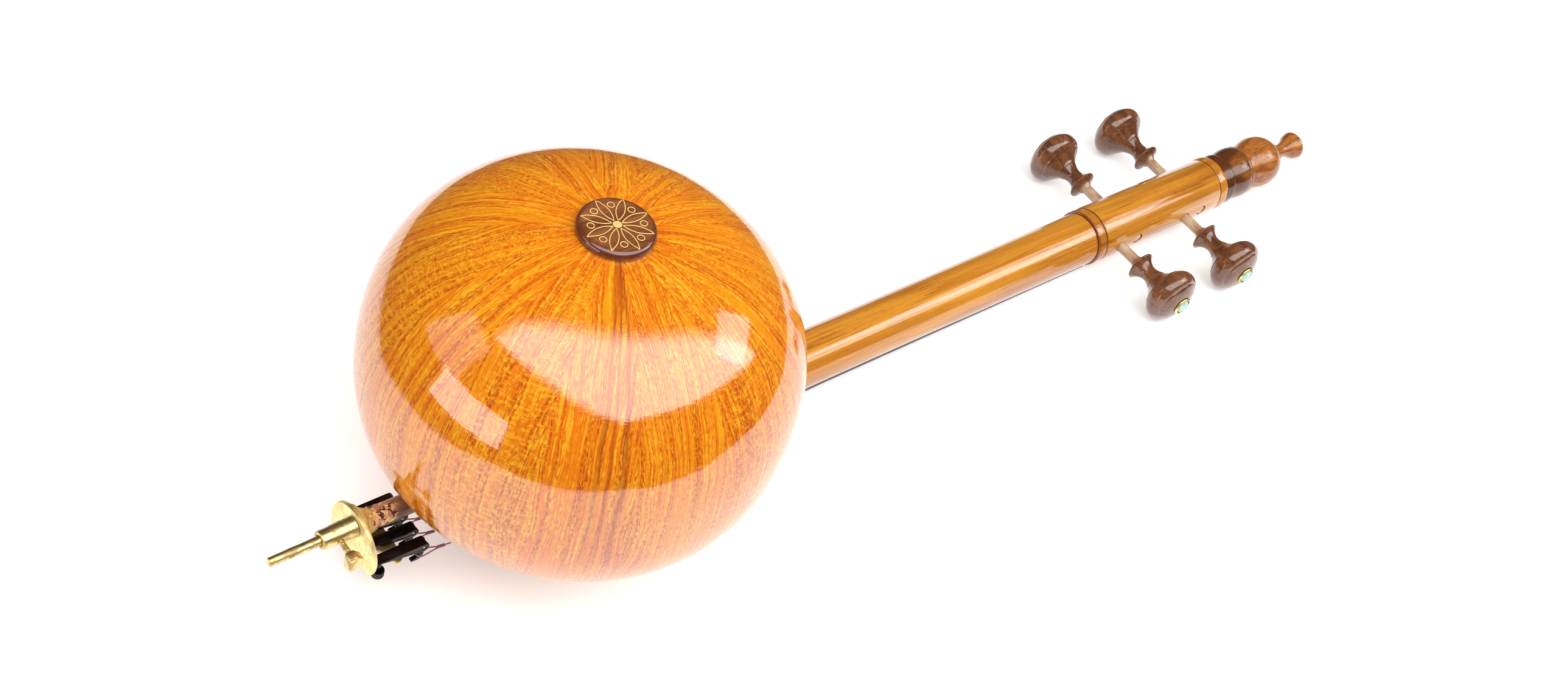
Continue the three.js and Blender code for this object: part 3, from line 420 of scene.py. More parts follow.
def disc_wood():
    f, at, base = turned_wood("dark_red_wood", 0, colour(154, 93, 52), colour(120, 66, 33),
                              colour(60, 30, 16), place(0, 0, 85), 0.22, 1.0)
    x, y, _ = f.split(at)
    edge = f.between(f.reach(x, y), 0.0138, 0.0166)
    return f.painted(f.stain(base, edge, 0.6, 92, 30, 16))


NECK_WOOD, FINIAL_WOOD, PEG_WOOD, DISC_WOOD = neck_wood(), finial_wood(), peg_wood(), disc_wood()
print("turned woods:", [m.name for m in (NECK_WOOD, FINIAL_WOOD, PEG_WOOD, DISC_WOOD)])

# %% [markdown]
# ## Brass, oxide, black metal and the small finishes
# The brass is pale, rubbed by hands, with a thin brown tarnish in patches and fine scratches.
# The tube behind the plate was heated when it was brazed, so it is brown, with gold and pink
# blobs near the joint. The fine tuners are gloss black.

# %% Metals
def brass(name, pale, tarnish, amount, rough, brushed=(90, 1600, 1600)):
    f = Finish(name, Metallic=1.0)
    at = f.here()
    patches = f.between(f.noise(at, (170, 170, 170), 4.0, 0.65, 0.6), 0.44, 0.62)
    specks = f.between(f.noise(at, 1100, 3.0, 0.6), 0.6, 0.72)
    lines = f.noise(at, brushed, 3.0, 0.6)
    dull = f.times(patches, f.scaled(f.between(lines, 0.35, 0.65), 0.6, 0.4))
    base = f.mix(f.times(dull, amount), pale, tarnish)
    base = f.mix(f.times(specks, 0.4), base, [v * 0.35 for v in tarnish])
    f.bump(f.plus(lines, f.times(patches, 0.4)), 0.00006, 0.6)
    return f.painted(base, f.scaled(patches, 0.2, f.scaled(lines, 0.2, rough)))


def brazed():
    f = Finish("heated_brass", Metallic=0.55)
    at = f.here(place(PLATE_X, 0, TAIL_Z))
    wavy = f.scaled(f.noise(at, (120, 260, 260), 3.0), 0.012, f.split(at)[0])
    near = f.times(f.between(wavy, 0.0265, 0.0225), f.between(wavy, 0.0115, 0.0145))
    blobs = f.noise(at, (460, 460, 460), 3.0, 0.6, 0.5)
    brown = f.mix(f.between(f.noise(at, (60, 300, 300), 4.0, 0.6), 0.35, 0.68),
                  colour(158, 128, 106), colour(96, 68, 52))
    gold = f.mix(f.between(blobs, 0.44, 0.5), colour(92, 46, 44), colour(244, 208, 144))
    pink = f.mix(f.between(f.noise(at, (300, 300, 300)), 0.52, 0.6), gold, colour(214, 148, 128))
    rough_gold = f.mix(blobs, colour(246, 222, 146), colour(214, 176, 96))
    fillet = f.mix(f.between(wavy, 0.0165, 0.012), brown, rough_gold)
    f.bump(f.times(blobs, f.scaled(near, 0.9, 0.1)), 0.0008, 0.8)
    return f.painted(f.mix(near, fillet, pink), f.scaled(blobs, 0.35, 0.26))


def black_gloss():
    f = Finish("gloss_black", Specular_IOR_Level=0.22)
    dust = f.between(f.noise(f.here(), (700, 1500, 1500), 3.0), 0.58, 0.72)
    return f.painted(f.stain(colour(8, 8, 10), dust, 0.3, 42, 42, 48), f.scaled(dust, 0.25, 0.14))


def steel(name, tone, rough):
    f = Finish(name, Metallic=1.0)
    lines = f.noise(f.here(), (1500, 300, 1500))
    return f.painted(f.mix(lines, tone, [v * 0.75 for v in tone]), f.scaled(lines, 0.15, rough))


BRASS = brass("worn_brass", colour(232, 208, 146), colour(134, 108, 58), 0.85, 0.2)
BRASS_PLATE = brass("plate_brass", colour(250, 230, 172), colour(208, 172, 104), 0.35, 0.34, (700, 700, 160))
OXIDE, BLACK, STEEL = brazed(), black_gloss(), steel("bright_steel", (0.8, 0.8, 0.82), 0.18)
GOLD = brass("inlay_gold", colour(255, 222, 140), colour(236, 186, 92), 0.5, 0.3)
GOLD.node_tree.nodes["Principled BSDF"].inputs["Metallic"].default_value = 0.35
print("metals:", [m.name for m in (BRASS, BRASS_PLATE, OXIDE, BLACK, STEEL, GOLD)])

# %% [markdown]
# ## Skin, strings, stone and the bare woods
# The skin, the bone and the bare woods differ in colour and in how far their clouds stretch, so
# one function draws them all. The strings are wound wire with silk at their ends: a sine along
# the string draws the windings, which would be far too many to model. The sine also paints each
# turn lighter on its crest and darker between turns: painted highlight and shade.

# %% Skin, strings, stone and the bare woods
def plain(name, a, b, scale, rough, coat=0.0):
    f = Finish(name, Coat_Weight=coat, Coat_Roughness=0.1)
    cloud = f.noise(f.here(), scale, 4.0, 0.6)
    f.bump(cloud, 0.00003, 0.5)
    return f.painted(f.mix(f.between(cloud, 0.35, 0.68), a, b), f.scaled(cloud, 0.15, rough))


def string_finish():
    """Wound wire in the middle and mauve silk at both ends, with the windings as a fine bump and as painted
    highlight and shade in the colour.
    """
    f = Finish("silk_and_wire")
    x, y, _ = f.split(f.here(place(0, 0, 0)))
    silk = f.math("MAXIMUM", f.between(x, -0.03, -0.034), f.between(x, 0.325, 0.33))
    # Painted highlight and shade: the sine makes each turn lighter on its crest and darker between turns, in
    # the colour as well as in the bump.
    windings_and_shade = f.math("SINE", f.times(f.plus(x, f.times(y, 0.3)), 22000))
    mauve = f.mix(f.between(windings_and_shade, -0.4, 0.6), colour(146, 98, 136), colour(204, 154, 184))
    wire = f.mix(f.between(windings_and_shade, -0.5, 0.5), colour(120, 116, 118), colour(206, 202, 204))
    f.set("Metallic", f.minus(1.0, silk))
    f.bump(windings_and_shade, 0.00004, 0.8)
    return f.painted(f.mix(silk, wire, mauve), f.scaled(silk, 0.3, 0.3))


def turquoise():
    f = Finish("turquoise_stone", Coat_Weight=1.0, Coat_Roughness=0.03, Roughness=0.25)
    at = f.here()
    veins = f.between(f.noise(at, (900, 900, 900), 4.0, 0.65, 1.5), 0.52, 0.6)
    cloud = f.noise(at, (350, 350, 350))
    base = f.mix(f.between(cloud, 0.3, 0.7), colour(70, 196, 196), colour(176, 232, 214))
    return f.painted(f.stain(base, veins, 0.5, 214, 200, 120))


SKIN = plain("stretched_skin", colour(236, 226, 200), colour(214, 198, 164), (60, 60, 60), 0.5, 0.1)
BOARD = plain("dark_board", colour(40, 28, 22), colour(22, 15, 12), (40, 900, 900), 0.35, 0.3)
BONE = plain("polished_bone", colour(240, 232, 208), colour(226, 212, 178), (400, 90, 400), 0.3, 0.4)
MAPLE = plain("bare_maple", colour(222, 184, 124), colour(196, 150, 92), (300, 60, 700), 0.5, 0.15)
SPRUCE = plain("sawn_spruce", colour(226, 196, 140), colour(200, 164, 108), (60, 900, 300), 0.75)
STRING, STONE = string_finish(), turquoise()
print("small finishes made")

# %% [markdown]
# ## A small kit for shapes
# Flat pieces start from a copy of the solid and get their edges eased, because a real edge is
# never razor sharp and catches a line of light. Holes and hollows are cut with boolean
# modifiers. Every modifier is turned into plain mesh at once, so the pieces are light to move.

# %% Shape helpers
def new_object(name, mesh):
    made = bpy.data.objects.new(name, mesh)
    scene.collection.objects.link(made)
    return made


def baked(piece):
    """The piece with its modifiers turned into plain mesh."""
    graph = bpy.context.evaluated_depsgraph_get()
    mesh = bpy.data.meshes.new_from_object(piece.evaluated_get(graph))
    piece.modifiers.clear()
    piece.data = mesh
    return piece


def opened(*meshes):
    """The meshes in one editable shape."""
    shape = bmesh.new()
    for mesh in meshes:
        shape.from_mesh(mesh)
    return shape


def stored(shape, mesh):
    shape.to_mesh(mesh)
    shape.free()


def new_piece(name, shape):
    mesh = bpy.data.meshes.new(name)
    stored(shape, mesh)
    return new_object(name, mesh)


def smooth(piece, angle=32):
    piece.data.polygons.foreach_set("use_smooth", [True] * len(piece.data.polygons))
    piece.data.set_sharp_from_angle(angle=math.radians(angle))
    return piece


def eased(piece, width, segments=3, angle=32):
    """Every edge sharper than the angle is rounded by a width in millimetres."""
    bevel = piece.modifiers.new("ease", "BEVEL")
    bevel.width, bevel.segments, bevel.limit_method = width * MM, segments, "ANGLE"
    bevel.angle_limit, bevel.harden_normals = math.radians(angle), False
    return smooth(baked(piece), angle)


def copied(node, name):
    """A welded copy of a solid, with its flat faces joined up again."""
    shape = opened(frame["nodes"][node].data)
    bmesh.ops.remove_doubles(shape, verts=shape.verts, dist=2e-6)
    bmesh.ops.dissolve_limit(shape, angle_limit=math.radians(1), verts=shape.verts, edges=shape.edges)
    bmesh.ops.recalc_face_normals(shape, faces=shape.faces)
    return new_piece(name, shape)


def block(name, low, high):
    shape = bmesh.new()
    bmesh.ops.create_cube(shape, size=1)
    low, high = place(*low), place(*high)
    for v in shape.verts:
        v.co = Vector([low[i] if v.co[i] < 0 else high[i] for i in range(3)])
    return new_piece(name, shape)


def cut(piece, *cutters):
    for cutter in cutters:
        boolean = piece.modifiers.new("cut", "BOOLEAN")
        boolean.operation, boolean.solver, boolean.object = "DIFFERENCE", "EXACT", cutter
        bpy.context.view_layer.update()
        baked(piece)
        bpy.data.objects.remove(cutter)
    return piece


def finished(piece, material):
    piece.data.materials.clear()
    piece.data.materials.append(material)


def dressed(piece, material, node=None, body="instrument"):
    """The piece gets its finish, moves with a body, and stands for a solid of the frame."""
    finished(piece, material)
    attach(piece, body)
    if node:
        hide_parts(node)


print("shape kit ready")

# %% [markdown]
# ## A small lathe
# Most pieces of the instrument are turned, so the main helper does what a lathe does: it takes
# the stations of a profile and turns them. Runs of stations between two sharp corners are
# rounded by a spline, which needs fewer numbers than a smooth curve that is listed point by point.

# %% Lathe
def spline(points, steps):
    """A rounded run through the points, which are pairs of numbers."""
    if len(points) < 3:
        return list(points)
    ends = [points[0]] + list(points) + [points[-1]]
    made = []
    for i in range(1, len(ends) - 2):
        p0, p1, p2, p3 = (Vector(ends[j]) for j in (i - 1, i, i + 1, i + 2))
        for s in range(steps):
            t = s / steps
            made.append(tuple(0.5 * ((2 * p1) + (p2 - p0) * t + (2 * p0 - 5 * p1 + 4 * p2 - p3) * t * t
                                     + (3 * p1 - p0 - 3 * p2 + p3) * t ** 3)))
    return made + [points[-1]]


def outline(profile, steps):
    """The profile as one line of stations, with its rounded runs filled in."""
    line, last = [], profile[0]
    for part in profile[1:]:
        run = [last, *part] if isinstance(part, list) else [last, part]
        last = run[-1]
        for along, radius in spline(run, steps):
            if not line or (Vector(line[-1]) - Vector((along, radius))).length > 1e-4:
                line.append((along, max(radius, 0.0)))
    return line


def turned(name, profile, axis, origin, sides=96, steps=5):
    """Turns a profile of (place along the axis, radius) stations.

    A bare station is a corner. A list of stations is a run that is rounded from the station before."""
    index, units = "xyz".index(axis), Matrix.Identity(3)
    main, first, second = (units[(index + i) % 3] for i in range(3))
    shape = bmesh.new()
    rings = []
    for along, radius in outline(profile, steps):
        middle = main * along
        if radius < 1e-4:
            rings.append([shape.verts.new(middle)])
            continue
        ring = []
        for i in range(sides):
            a = math.tau * i / sides
            ring.append(shape.verts.new(middle + (first * math.cos(a) + second * math.sin(a)) * radius))
        rings.append(ring)
    hollow = len(rings[0]) > 1 and len(rings[-1]) > 1
    for low, high in list(zip(rings, rings[1:])) + ([(rings[-1], rings[0])] if hollow else []):
        for i in range(sides):
            j = (i + 1) % sides
            corners = [low[i % len(low)], low[j % len(low)], high[j % len(high)], high[i % len(high)]]
            corners = list(dict.fromkeys(corners))
            if len(corners) > 2:
                shape.faces.new(corners)
    bmesh.ops.recalc_face_normals(shape, faces=shape.faces)
    shape.transform(Matrix.Scale(MM, 4))
    shape.transform(Matrix.Translation(place(*origin)))
    return smooth(new_piece(name, shape))


def bowl_filler(clearance=0.3):
    """A solid ball in the bowl's outline, larger all round, to hollow out what sits against it."""
    share = 2 / BOWL_POWER
    line = []
    for i in range(81):
        a = math.pi * i / 80 - math.pi / 2
        height = BOWL_BACK if a > 0 else BOWL_FRONT * 1.115
        rise = math.copysign(abs(math.sin(a)) ** share, a)
        line.append((rise * (height + clearance), (BOWL_R + clearance) * max(math.cos(a), 0) ** share))
    line[0], line[-1] = (line[0][0], 0), (line[-1][0], 0)
    return turned("filler", line, "z", (0, 0, 0), 128)


print("lathe ready")

# %% [markdown]
# ## A small kit for Geometry Nodes
# Pieces that follow a rule or repeat are made by Geometry Nodes. A tree is built once with named
# inputs, run on an empty mesh, and baked to plain mesh, because the export drops instances.

# %% Geometry Nodes helper
class Rule(Wiring):
    """A Geometry Nodes tree with named sizes."""

    def __init__(self, name, **sizes):
        super().__init__(bpy.data.node_groups.new(name, "GeometryNodeTree"))
        self.sizes, self.ids = sizes, {}
        self.socket("Geometry", "Geometry")
        for label, value in sizes.items():
            self.ids[label] = self.socket(label, "Int" if isinstance(value, int) else "Float")
        self.ids["Material"] = self.socket("Material", "Material")
        self.socket("Geometry", "Geometry", "OUTPUT")
        self.given = self.node("NodeGroupInput")

    def socket(self, label, kind, way="INPUT"):
        made = self.tree.interface.new_socket(label, in_out=way, socket_type="NodeSocket" + kind)
        return made.identifier

    def __getitem__(self, label):
        return self.given[label]

    def geo(self, kind, inputs=(), **settings):
        """The first output of a new Geometry Nodes node."""
        return self.node("GeometryNode" + kind, inputs, **settings)[0]

    def circle(self, corners, radius):
        return self.geo("CurvePrimitiveCircle", {"Resolution": corners, "Radius": radius})

    def swept(self, curve, profile, caps=True):
        return self.geo("CurveToMesh", {"Curve": curve, "Profile Curve": profile, "Fill Caps": caps})

    def moved(self, shape, way):
        return self.geo("Transform", {"Geometry": shape, "Translation": way})

    def together(self, *parts):
        made = self.tree.nodes.new("GeometryNodeJoinGeometry")
        for part in parts:
            self.feed(made.inputs[0], part)
        return made.outputs[0]

    def round_about(self, shape, count, start=0.0):
        """The shape repeated round the Z axis."""
        points = self.geo("MeshLine", {"Count": count, "Offset": (0, 0, 0)})
        index = self.geo("InputIndex")
        angle = self.scaled(index, self.math("DIVIDE", math.tau, count), start)
        spin = self.node("FunctionNodeAxisAngleToRotation", {"Axis": (0, 0, 1), "Angle": angle})[0]
        return self.geo("InstanceOnPoints", {"Points": points, "Instance": shape, "Rotation": spin})

    def run(self, name, shape, material, move=Matrix.Identity(4)):
        real = self.geo("RealizeInstances", {"Geometry": shape})
        joined = self.geo("MergeByDistance", {"Geometry": real, "Distance": 1e-6})
        painted = self.geo("SetMaterial", {"Geometry": joined, "Material": self.given["Material"]})
        self.feed(self.tree.nodes.new("NodeGroupOutput").inputs[0], painted)
        piece = new_object(name, bpy.data.meshes.new(name))
        modifier = piece.modifiers.new("rule", "NODES")
        modifier.node_group = self.tree
        for label, value in self.sizes.items():
            modifier[self.ids[label]] = value
        modifier[self.ids["Material"]] = material
        baked(piece)
        piece.data.transform(move)
        return piece


print("rule kit ready")

# %% [markdown]
# ## The bowl
# The bowl is not quite a ball: its sides are fuller, so its outline follows a power rule, with
# one height for the back and one for the front, where the skin's opening is. A grid is wrapped
# into that shape by Geometry Nodes, once for the outside and once, smaller, for the hollow, and
# the two are joined at the lip. A hole in the tail takes the brass tube and one takes the dowel.

# %% Bowl
def bowl_surface(name, radius, rise, opening):
    """The bowl's outline as a surface of revolution with an open front."""
    share = 2 / BOWL_POWER
    start = math.acos((opening / radius) ** (1 / share))
    r = Rule(name, Radius=radius * MM, Back=rise * MM, Front=BOWL_FRONT * MM, Share=share, Start=start,
             Sides=224, Rings=112)
    size = {"Size X": 1.0, "Size Y": 1.0}
    grid = r.geo("MeshGrid", {**size, "Vertices X": r["Sides"], "Vertices Y": r["Rings"]})
    x, y, _ = r.split(r.geo("InputPosition"))
    around = r.times(r.plus(x, 0.5), math.tau)
    lift = r.scaled(r.plus(y, 0.5), r.plus(r["Start"], math.pi / 2), r.times(r["Start"], -1.0))
    cosine, sine = r.math("MAXIMUM", r.math("COSINE", lift), 0.0), r.math("SINE", lift)
    reach = r.times(r["Radius"], r.math("POWER", cosine, r["Share"]))
    below = r.math("DIVIDE", r.math("MAXIMUM", r.times(sine, -1.0), 0.0), r.math("SINE", r["Start"]))
    height = r.minus(r.times(r["Back"], r.math("POWER", r.math("MAXIMUM", sine, 0.0), r["Share"])),
                     r.times(r["Front"], r.math("POWER", below, r["Share"])))
    spot = r.join(*(r.times(reach, r.math(way, around)) for way in ("COSINE", "SINE")), height)
    wrapped = r.geo("SetPosition", {"Geometry": grid, "Position": spot})
    return r.run(name, wrapped, STAVE, Matrix.Translation(place(0, 0, 0)))


bowl = bowl_surface("bowl", BOWL_R, BOWL_BACK, BOWL_OPENING)
hollow = bowl_surface("hollow", BOWL_R - BOWL_WALL, BOWL_BACK - BOWL_WALL, BOWL_LIP)
shape = opened(bowl.data, hollow.data)
bmesh.ops.remove_doubles(shape, verts=shape.verts, dist=1e-6)
middle = place(0, 0, 0)
rim = sorted((v for v in shape.verts if v.is_boundary), key=lambda v: (v.co - middle).xy.length)
ring_in, ring_out = (sorted(ring, key=lambda v: math.atan2(v.co.y - middle.y, v.co.x - middle.x))
                     for ring in (rim[:len(rim) // 2], rim[len(rim) // 2:]))
for i in range(len(ring_in)):
    shape.faces.new((ring_in[i - 1], ring_in[i], ring_out[i], ring_out[i - 1]))
bmesh.ops.recalc_face_normals(shape, faces=shape.faces)
stored(shape, bowl.data)
bpy.data.objects.remove(hollow)
tail_hole = turned("tail_hole", [(-110, 0), (-110, 5.3), (-60, 5.3), (-60, 0)], "x", (0, 0, TAIL_Z), 64)
dowel_hole = turned("dowel_hole", [(45, 0), (45, 3.8), (100, 3.8), (100, 0)], "x", (0, 0, DOWEL_Z), 48)
cut(bowl, tail_hole, dowel_hole)
smooth(bowl, 40)
dressed(bowl, STAVE, "bowl_shell")
print("bowl:", len(bowl.data.polygons), "faces")

# %% [markdown]
# ## The back disc and its inlay
# A low turned disc covers the point where the staves meet. A flower of eight leaves with a small
# ring between each two is let into it in thin gold wire. One leaf and one ring are drawn, and
# Geometry Nodes repeats them round the disc.

# %% Back disc
TOP = BOWL_BACK + 4.05
disc = turned("disc", [
    (0, 0), (0, 14.4),
    [(-0.12, 15.2), (-0.5, 16.1), (-1.2, 16.95), (-2.2, 17.4), (-3.3, 17.5), (-4.4, 17.3), (-6.2, 16.9)],
    (-6.2, 0)], "z", (0, 0, TOP), 128, 6)
cut(disc, bowl_filler())
dressed(disc, DISC_WOOD, "back_disc")


INLAY_TURN = 0.808


def inlay_rule():
    r = Rule("inlay_rule", Leaf_start=2.5 * MM, Leaf_end=15.75 * MM, Leaf_swell=3.0 * MM, Wire=0.2 * MM,
             Ring=1.55 * MM, Ring_place=11.6 * MM, Count=8)
    middle = r.scaled(r.minus(r["Leaf_end"], r["Leaf_start"]), 0.48, r["Leaf_start"])
    wire = r.circle(8, r["Wire"])
    parts = []
    for side in (1.0, -1.0):
        curve = r.geo("CurveQuadraticBezier", {
            "Resolution": 24, "Start": r.join(r["Leaf_start"]), "End": r.join(r["Leaf_end"]),
            "Middle": r.join(middle, r.times(r["Leaf_swell"], side * 1.25))})
        parts.append(r.swept(curve, wire))
    leaves = r.round_about(r.together(*parts), r["Count"], INLAY_TURN)
    ring = r.moved(r.swept(r.circle(28, r["Ring"]), wire, False), r.join(r["Ring_place"]))
    rings = r.round_about(ring, r["Count"], INLAY_TURN + math.pi / 8)
    boss = r.geo("MeshUVSphere", {"Segments": 32, "Rings": 12, "Radius": r.times(r["Ring"], 1.3)})
    flat = r.geo("Transform", {"Geometry": r.together(leaves, rings), "Scale": (1, 1, 0.45)})
    low = r.geo("Transform", {"Geometry": boss, "Scale": (1, 1, 0.04)})
    real = r.geo("RealizeInstances", {"Geometry": r.together(flat, low)})
    x, y, _ = r.split(r.geo("InputPosition"))
    beyond = r.math("MAXIMUM", r.minus(r.reach(x, y), 14.3 * MM), 0.0)
    drop = r.times(beyond, beyond, -150.0)
    laid = r.geo("SetPosition", {"Geometry": real, "Offset": r.join(0.0, 0.0, drop)})
    return r.run("disc_inlay", laid, GOLD, Matrix.Translation(place(0, 0, TOP)))


inlay = smooth(inlay_rule(), 60)
dressed(inlay, GOLD)
print("inlay:", len(inlay.data.polygons), "faces")

# %% [markdown]
# ## Skin and binding
# A thin skin is stretched over the front opening, and a narrow ring covers its edge. They are on
# the underside here, and the strings and the bridge stand between them and the floor.

# %% Skin and binding
skin_z = -BOWL_FRONT - 0.3
skin = turned("skin_sheet", [(0, 0), (0, 49.7), [(-0.4, 49.95), (-0.8, 49.6)], (-0.8, 0)],
              "z", (0, 0, skin_z), 160)
dressed(skin, SKIN, "skin")
binding = turned("binding", [
    (0, 50.3), (0, 52.3), [(-0.9, 52.2), (-1.6, 51.6), (-1.7, 51.2), (-1.3, 50.5), (0, 50.3)]],
    "z", (0, 0, skin_z), 160)
dressed(binding, BOARD, "skin_binding")
print("front covered")

# %% [markdown]
# ## Neck
# The neck is turned, then planed flat in front for the fingerboard, and its heel is hollowed to
# sit against the bowl. It is made the same way: a turned blank, then cuts.

# %% Neck
middle = (55 + HEAD_X) / 2
end = HEAD_X - 0.3
neck = turned("neck_shaft", [(55, 0), (55, 14.7), [(middle, 14.4), (end, 14.9)], (end, 0)],
              "x", (0, 0, NECK_Z), 128, 16)
cut(neck, bowl_filler(), block("front_plane", (40, -30, -120), (380, 30, NECK_Z - 6.5)))
smooth(neck)
dressed(neck, NECK_WOOD, "neck")
print("neck:", len(neck.data.polygons), "faces")

# %% [markdown]
# ## Pegbox
# The head is turned on the lathe in one piece with its two bands, and then the slot for the
# strings, the peg holes and the front flat are cut. The groove beside each band is a dark line
# from above, painted into the wood's colour as shade in the recess.

# %% Pegbox
first, last = HEAD_X, PEGBOX_END
blank = turned("pegbox_wood", [
    (first, 0), (first, 15.2), [(first + 0.2, 15.8), (first + 0.8, 16)], (first + 5.6, 16),
    [(first + 6.1, 15.85), (first + 6.4, 15.35)], (first + 6.7, 15.35),
    [(first + 7.0, 15.85), (first + 7.6, 16)], (last - 7.4, 15.7),
    [(last - 7.0, 15.55), (last - 6.8, 15.25)], (last - 6.5, 15.25),
    [(last - 6.1, 15.55), (last - 4.6, 15.85), (last - 2.4, 16.05), (last - 1.0, 15.85), (last - 0.2, 15.3),
     (last, 14.9)], (last, 0)], "x", (0, 0, NECK_Z), 128, 4)
slot = block("slot", (first + 8.7, -8.5, -120), (last - 11, 8.5, NECK_Z + 9.5))
ramp = block("ramp", (first - 4, -8.5, -120), (first + 8.8, 8.5, -79.1))
for v in ramp.data.vertices:
    if v.co.z > place(0, 0, -100).z and v.co.x < place(first, 0, 0).x:
        v.co.z = place(0, 0, -86.0).z
holes = [turned("hole", [(-20, 0), (-20, 3.3), (20, 3.3), (20, 0)], "y", (x, 0, NECK_Z), 32)
         for x in sorted(PEGS_X)]
front = block("front_plane", (first - 5, -30, -120), (last + 5, 30, NECK_Z - 13.4))
pegbox = cut(blank, slot, ramp, front, *holes)
smooth(pegbox)
dressed(pegbox, NECK_WOOD, "pegbox")
print("pegbox:", len(pegbox.data.polygons), "faces")

# %% [markdown]
# ## Finial
# The knob on the end is one turning: a thin dark ring, a dark bead that swells to a fine fillet,
# a ball, a thin waist and a small button. The profile is a list of short runs, and each break
# between two runs stays a sharp edge, as the lathe tool leaves it.

# %% Finial
finial = turned("finial_knob", [
    (-7, 0), (-7, 6), (0.3, 6), (0.3, 13.4),
    [(2.0, 13.6), (4.4, 14.3), (6.4, 14.85), (7.5, 14.85), (8.2, 14.3), (8.6, 13.3)], (9.2, 12.5),
    [(12.0, 13.5), (15.6, 14.7), (19.4, 15.35), (22.2, 15.3), (23.1, 14.95)],
    [(23.7, 15.1), (24.6, 15.05), (25.2, 14.6), (25.5, 13.6)],
    [(26.0, 12.3), (27.4, 11.1), (29.4, 10.5), (31.8, 10.6)],
    [(34.6, 12.6), (37.6, 14.2), (40.6, 15.15), (44.0, 15.5), (48.2, 15.0), (52.4, 13.25), (55.8, 10.7),
     (58.2, 8.0), (59.9, 5.6)],
    [(61.2, 4.8), (64.6, 4.4), (68.8, 4.4), (72.8, 5.5), (76.4, 7.4), (79.4, 8.4), (81.0, 8.0), (82.8, 5.2),
     (83.7, 0)]], "x", (PEGBOX_END, 0, NECK_Z), 112, 6)
dressed(finial, FINIAL_WOOD, "finial")
print("finial:", len(finial.data.polygons), "faces")

# %% [markdown]
# ## Pegs
# Each peg is a tapered shaft, a collar with a small rim, a waist and a round knob with two fine
# grooves. A brass ring on its end holds a turquoise.

# %% Pegs
THROAT, RIDGE, WIDEST, FACE = (45.6, 6.4), (51.8, 13.3), (57.73, 16.4), (66.4, 6.0)
GROOVES = [(52.53, 0.75), (62.93, 0.6)]


def knob_radius(out):
    """The knob opens like a trumpet up to a ridge, then rounds over and down to its face."""
    if out < RIDGE[0]:
        rise = (out - THROAT[0]) / (RIDGE[0] - THROAT[0])
        return THROAT[1] + (RIDGE[1] - THROAT[1]) * rise ** 1.25
    middle, radius = WIDEST
    edge, edge_radius = RIDGE if out < middle else FACE
    reach = (edge - middle) / math.sqrt(1 - (edge_radius / radius) ** 2)
    return radius * math.sqrt(max(0.0, 1 - ((out - middle) / reach) ** 2))


def peg_profile():
    knob = []
    for i in range(1, 61):
        out = THROAT[0] + (FACE[0] - THROAT[0]) * i / 60
        depth = sum(max(0.0, half - abs(out - groove)) for groove, half in GROOVES)
        knob.append((out, knob_radius(out) - 0.95 * depth))
    return [(-15.3, 0), (-15.3, 2.5), (-14.8, 2.85), (28, 3.1), [(30.5, 5.1), (31.6, 7.6), (32.0, 8.3)],
            [(32.2, 8.6), (32.8, 8.6), (33.0, 8.2)],
            [(34, 7.2), (36, 5.6), (39, 4.6), (42, 4.9), (45.1, 6.2)],
            [(45.35, 6.0), THROAT], *knob, (FACE[0], 0)]


BEZEL = [(66.7, 4.3), (66.7, 5.5), [(66.9, 5.6), (67.4, 5.35), (67.8, 4.9), (67.9, 4.5)],
         [(67.5, 4.35), (66.7, 4.3)]]
JEWEL = [(66.7, 0), (66.7, 4.0), [(67.3, 4.0), (68.0, 3.2), (68.4, 1.6), (68.5, 0)]]
for number, (x, side) in enumerate(zip(PEGS_X, PEG_SIDES), 1):
    flip = Matrix.Translation(place(x, 0, NECK_Z)) @ Matrix.Rotation(0 if side > 0 else math.pi, 4, "Z")
    parts = [("shaft", peg_profile(), PEG_WOOD, "peg", "peg"),
             ("bezel_ring", BEZEL, BRASS, "peg_bezel", "brass"),
             ("cut_stone", JEWEL, STONE, "peg_stone", "turquoise")]
    for label, profile, material, node, finish in parts:
        piece = turned(f"{label}_{number}", profile, "y", (-SHIFT_X, 0, -LIFT), 72, 4)
        piece.data.transform(flip)
        dressed(piece, material, f"{node}_{number}", f"peg_{number}_body")
print("pegs made:", len(PEGS_X))

# %% [markdown]
# ## Fingerboard, nut and bridge
# These are flat pieces sawn and filed to shape. A copy of the solid gets its edges eased.

# %% Flat pieces
def eased_copy(node, name, width, material, body="instrument", angle=32):
    piece = eased(copied(node, name), width, 3, angle)
    dressed(piece, material, node, body)
    print(name, len(piece.data.polygons), "faces")


eased_copy("fingerboard", "board", 0.5, BOARD)
eased_copy("nut", "nut_bone", 0.12, BONE)
eased_copy("bridge", "bridge_maple", 0.25, MAPLE)

# %% [markdown]
# ## Tail plate, socket, rod and clamp
# A brass plate stands across the tail. A brass tube comes out of the bowl and is brazed to it,
# and a socket on its outer side takes the spike's rod, which a screw with a broad filed head
# clamps. The plate is cut from sheet: an arc that is closed, filled and thickened by Geometry
# Nodes, and its edge is eased, so it catches the light.

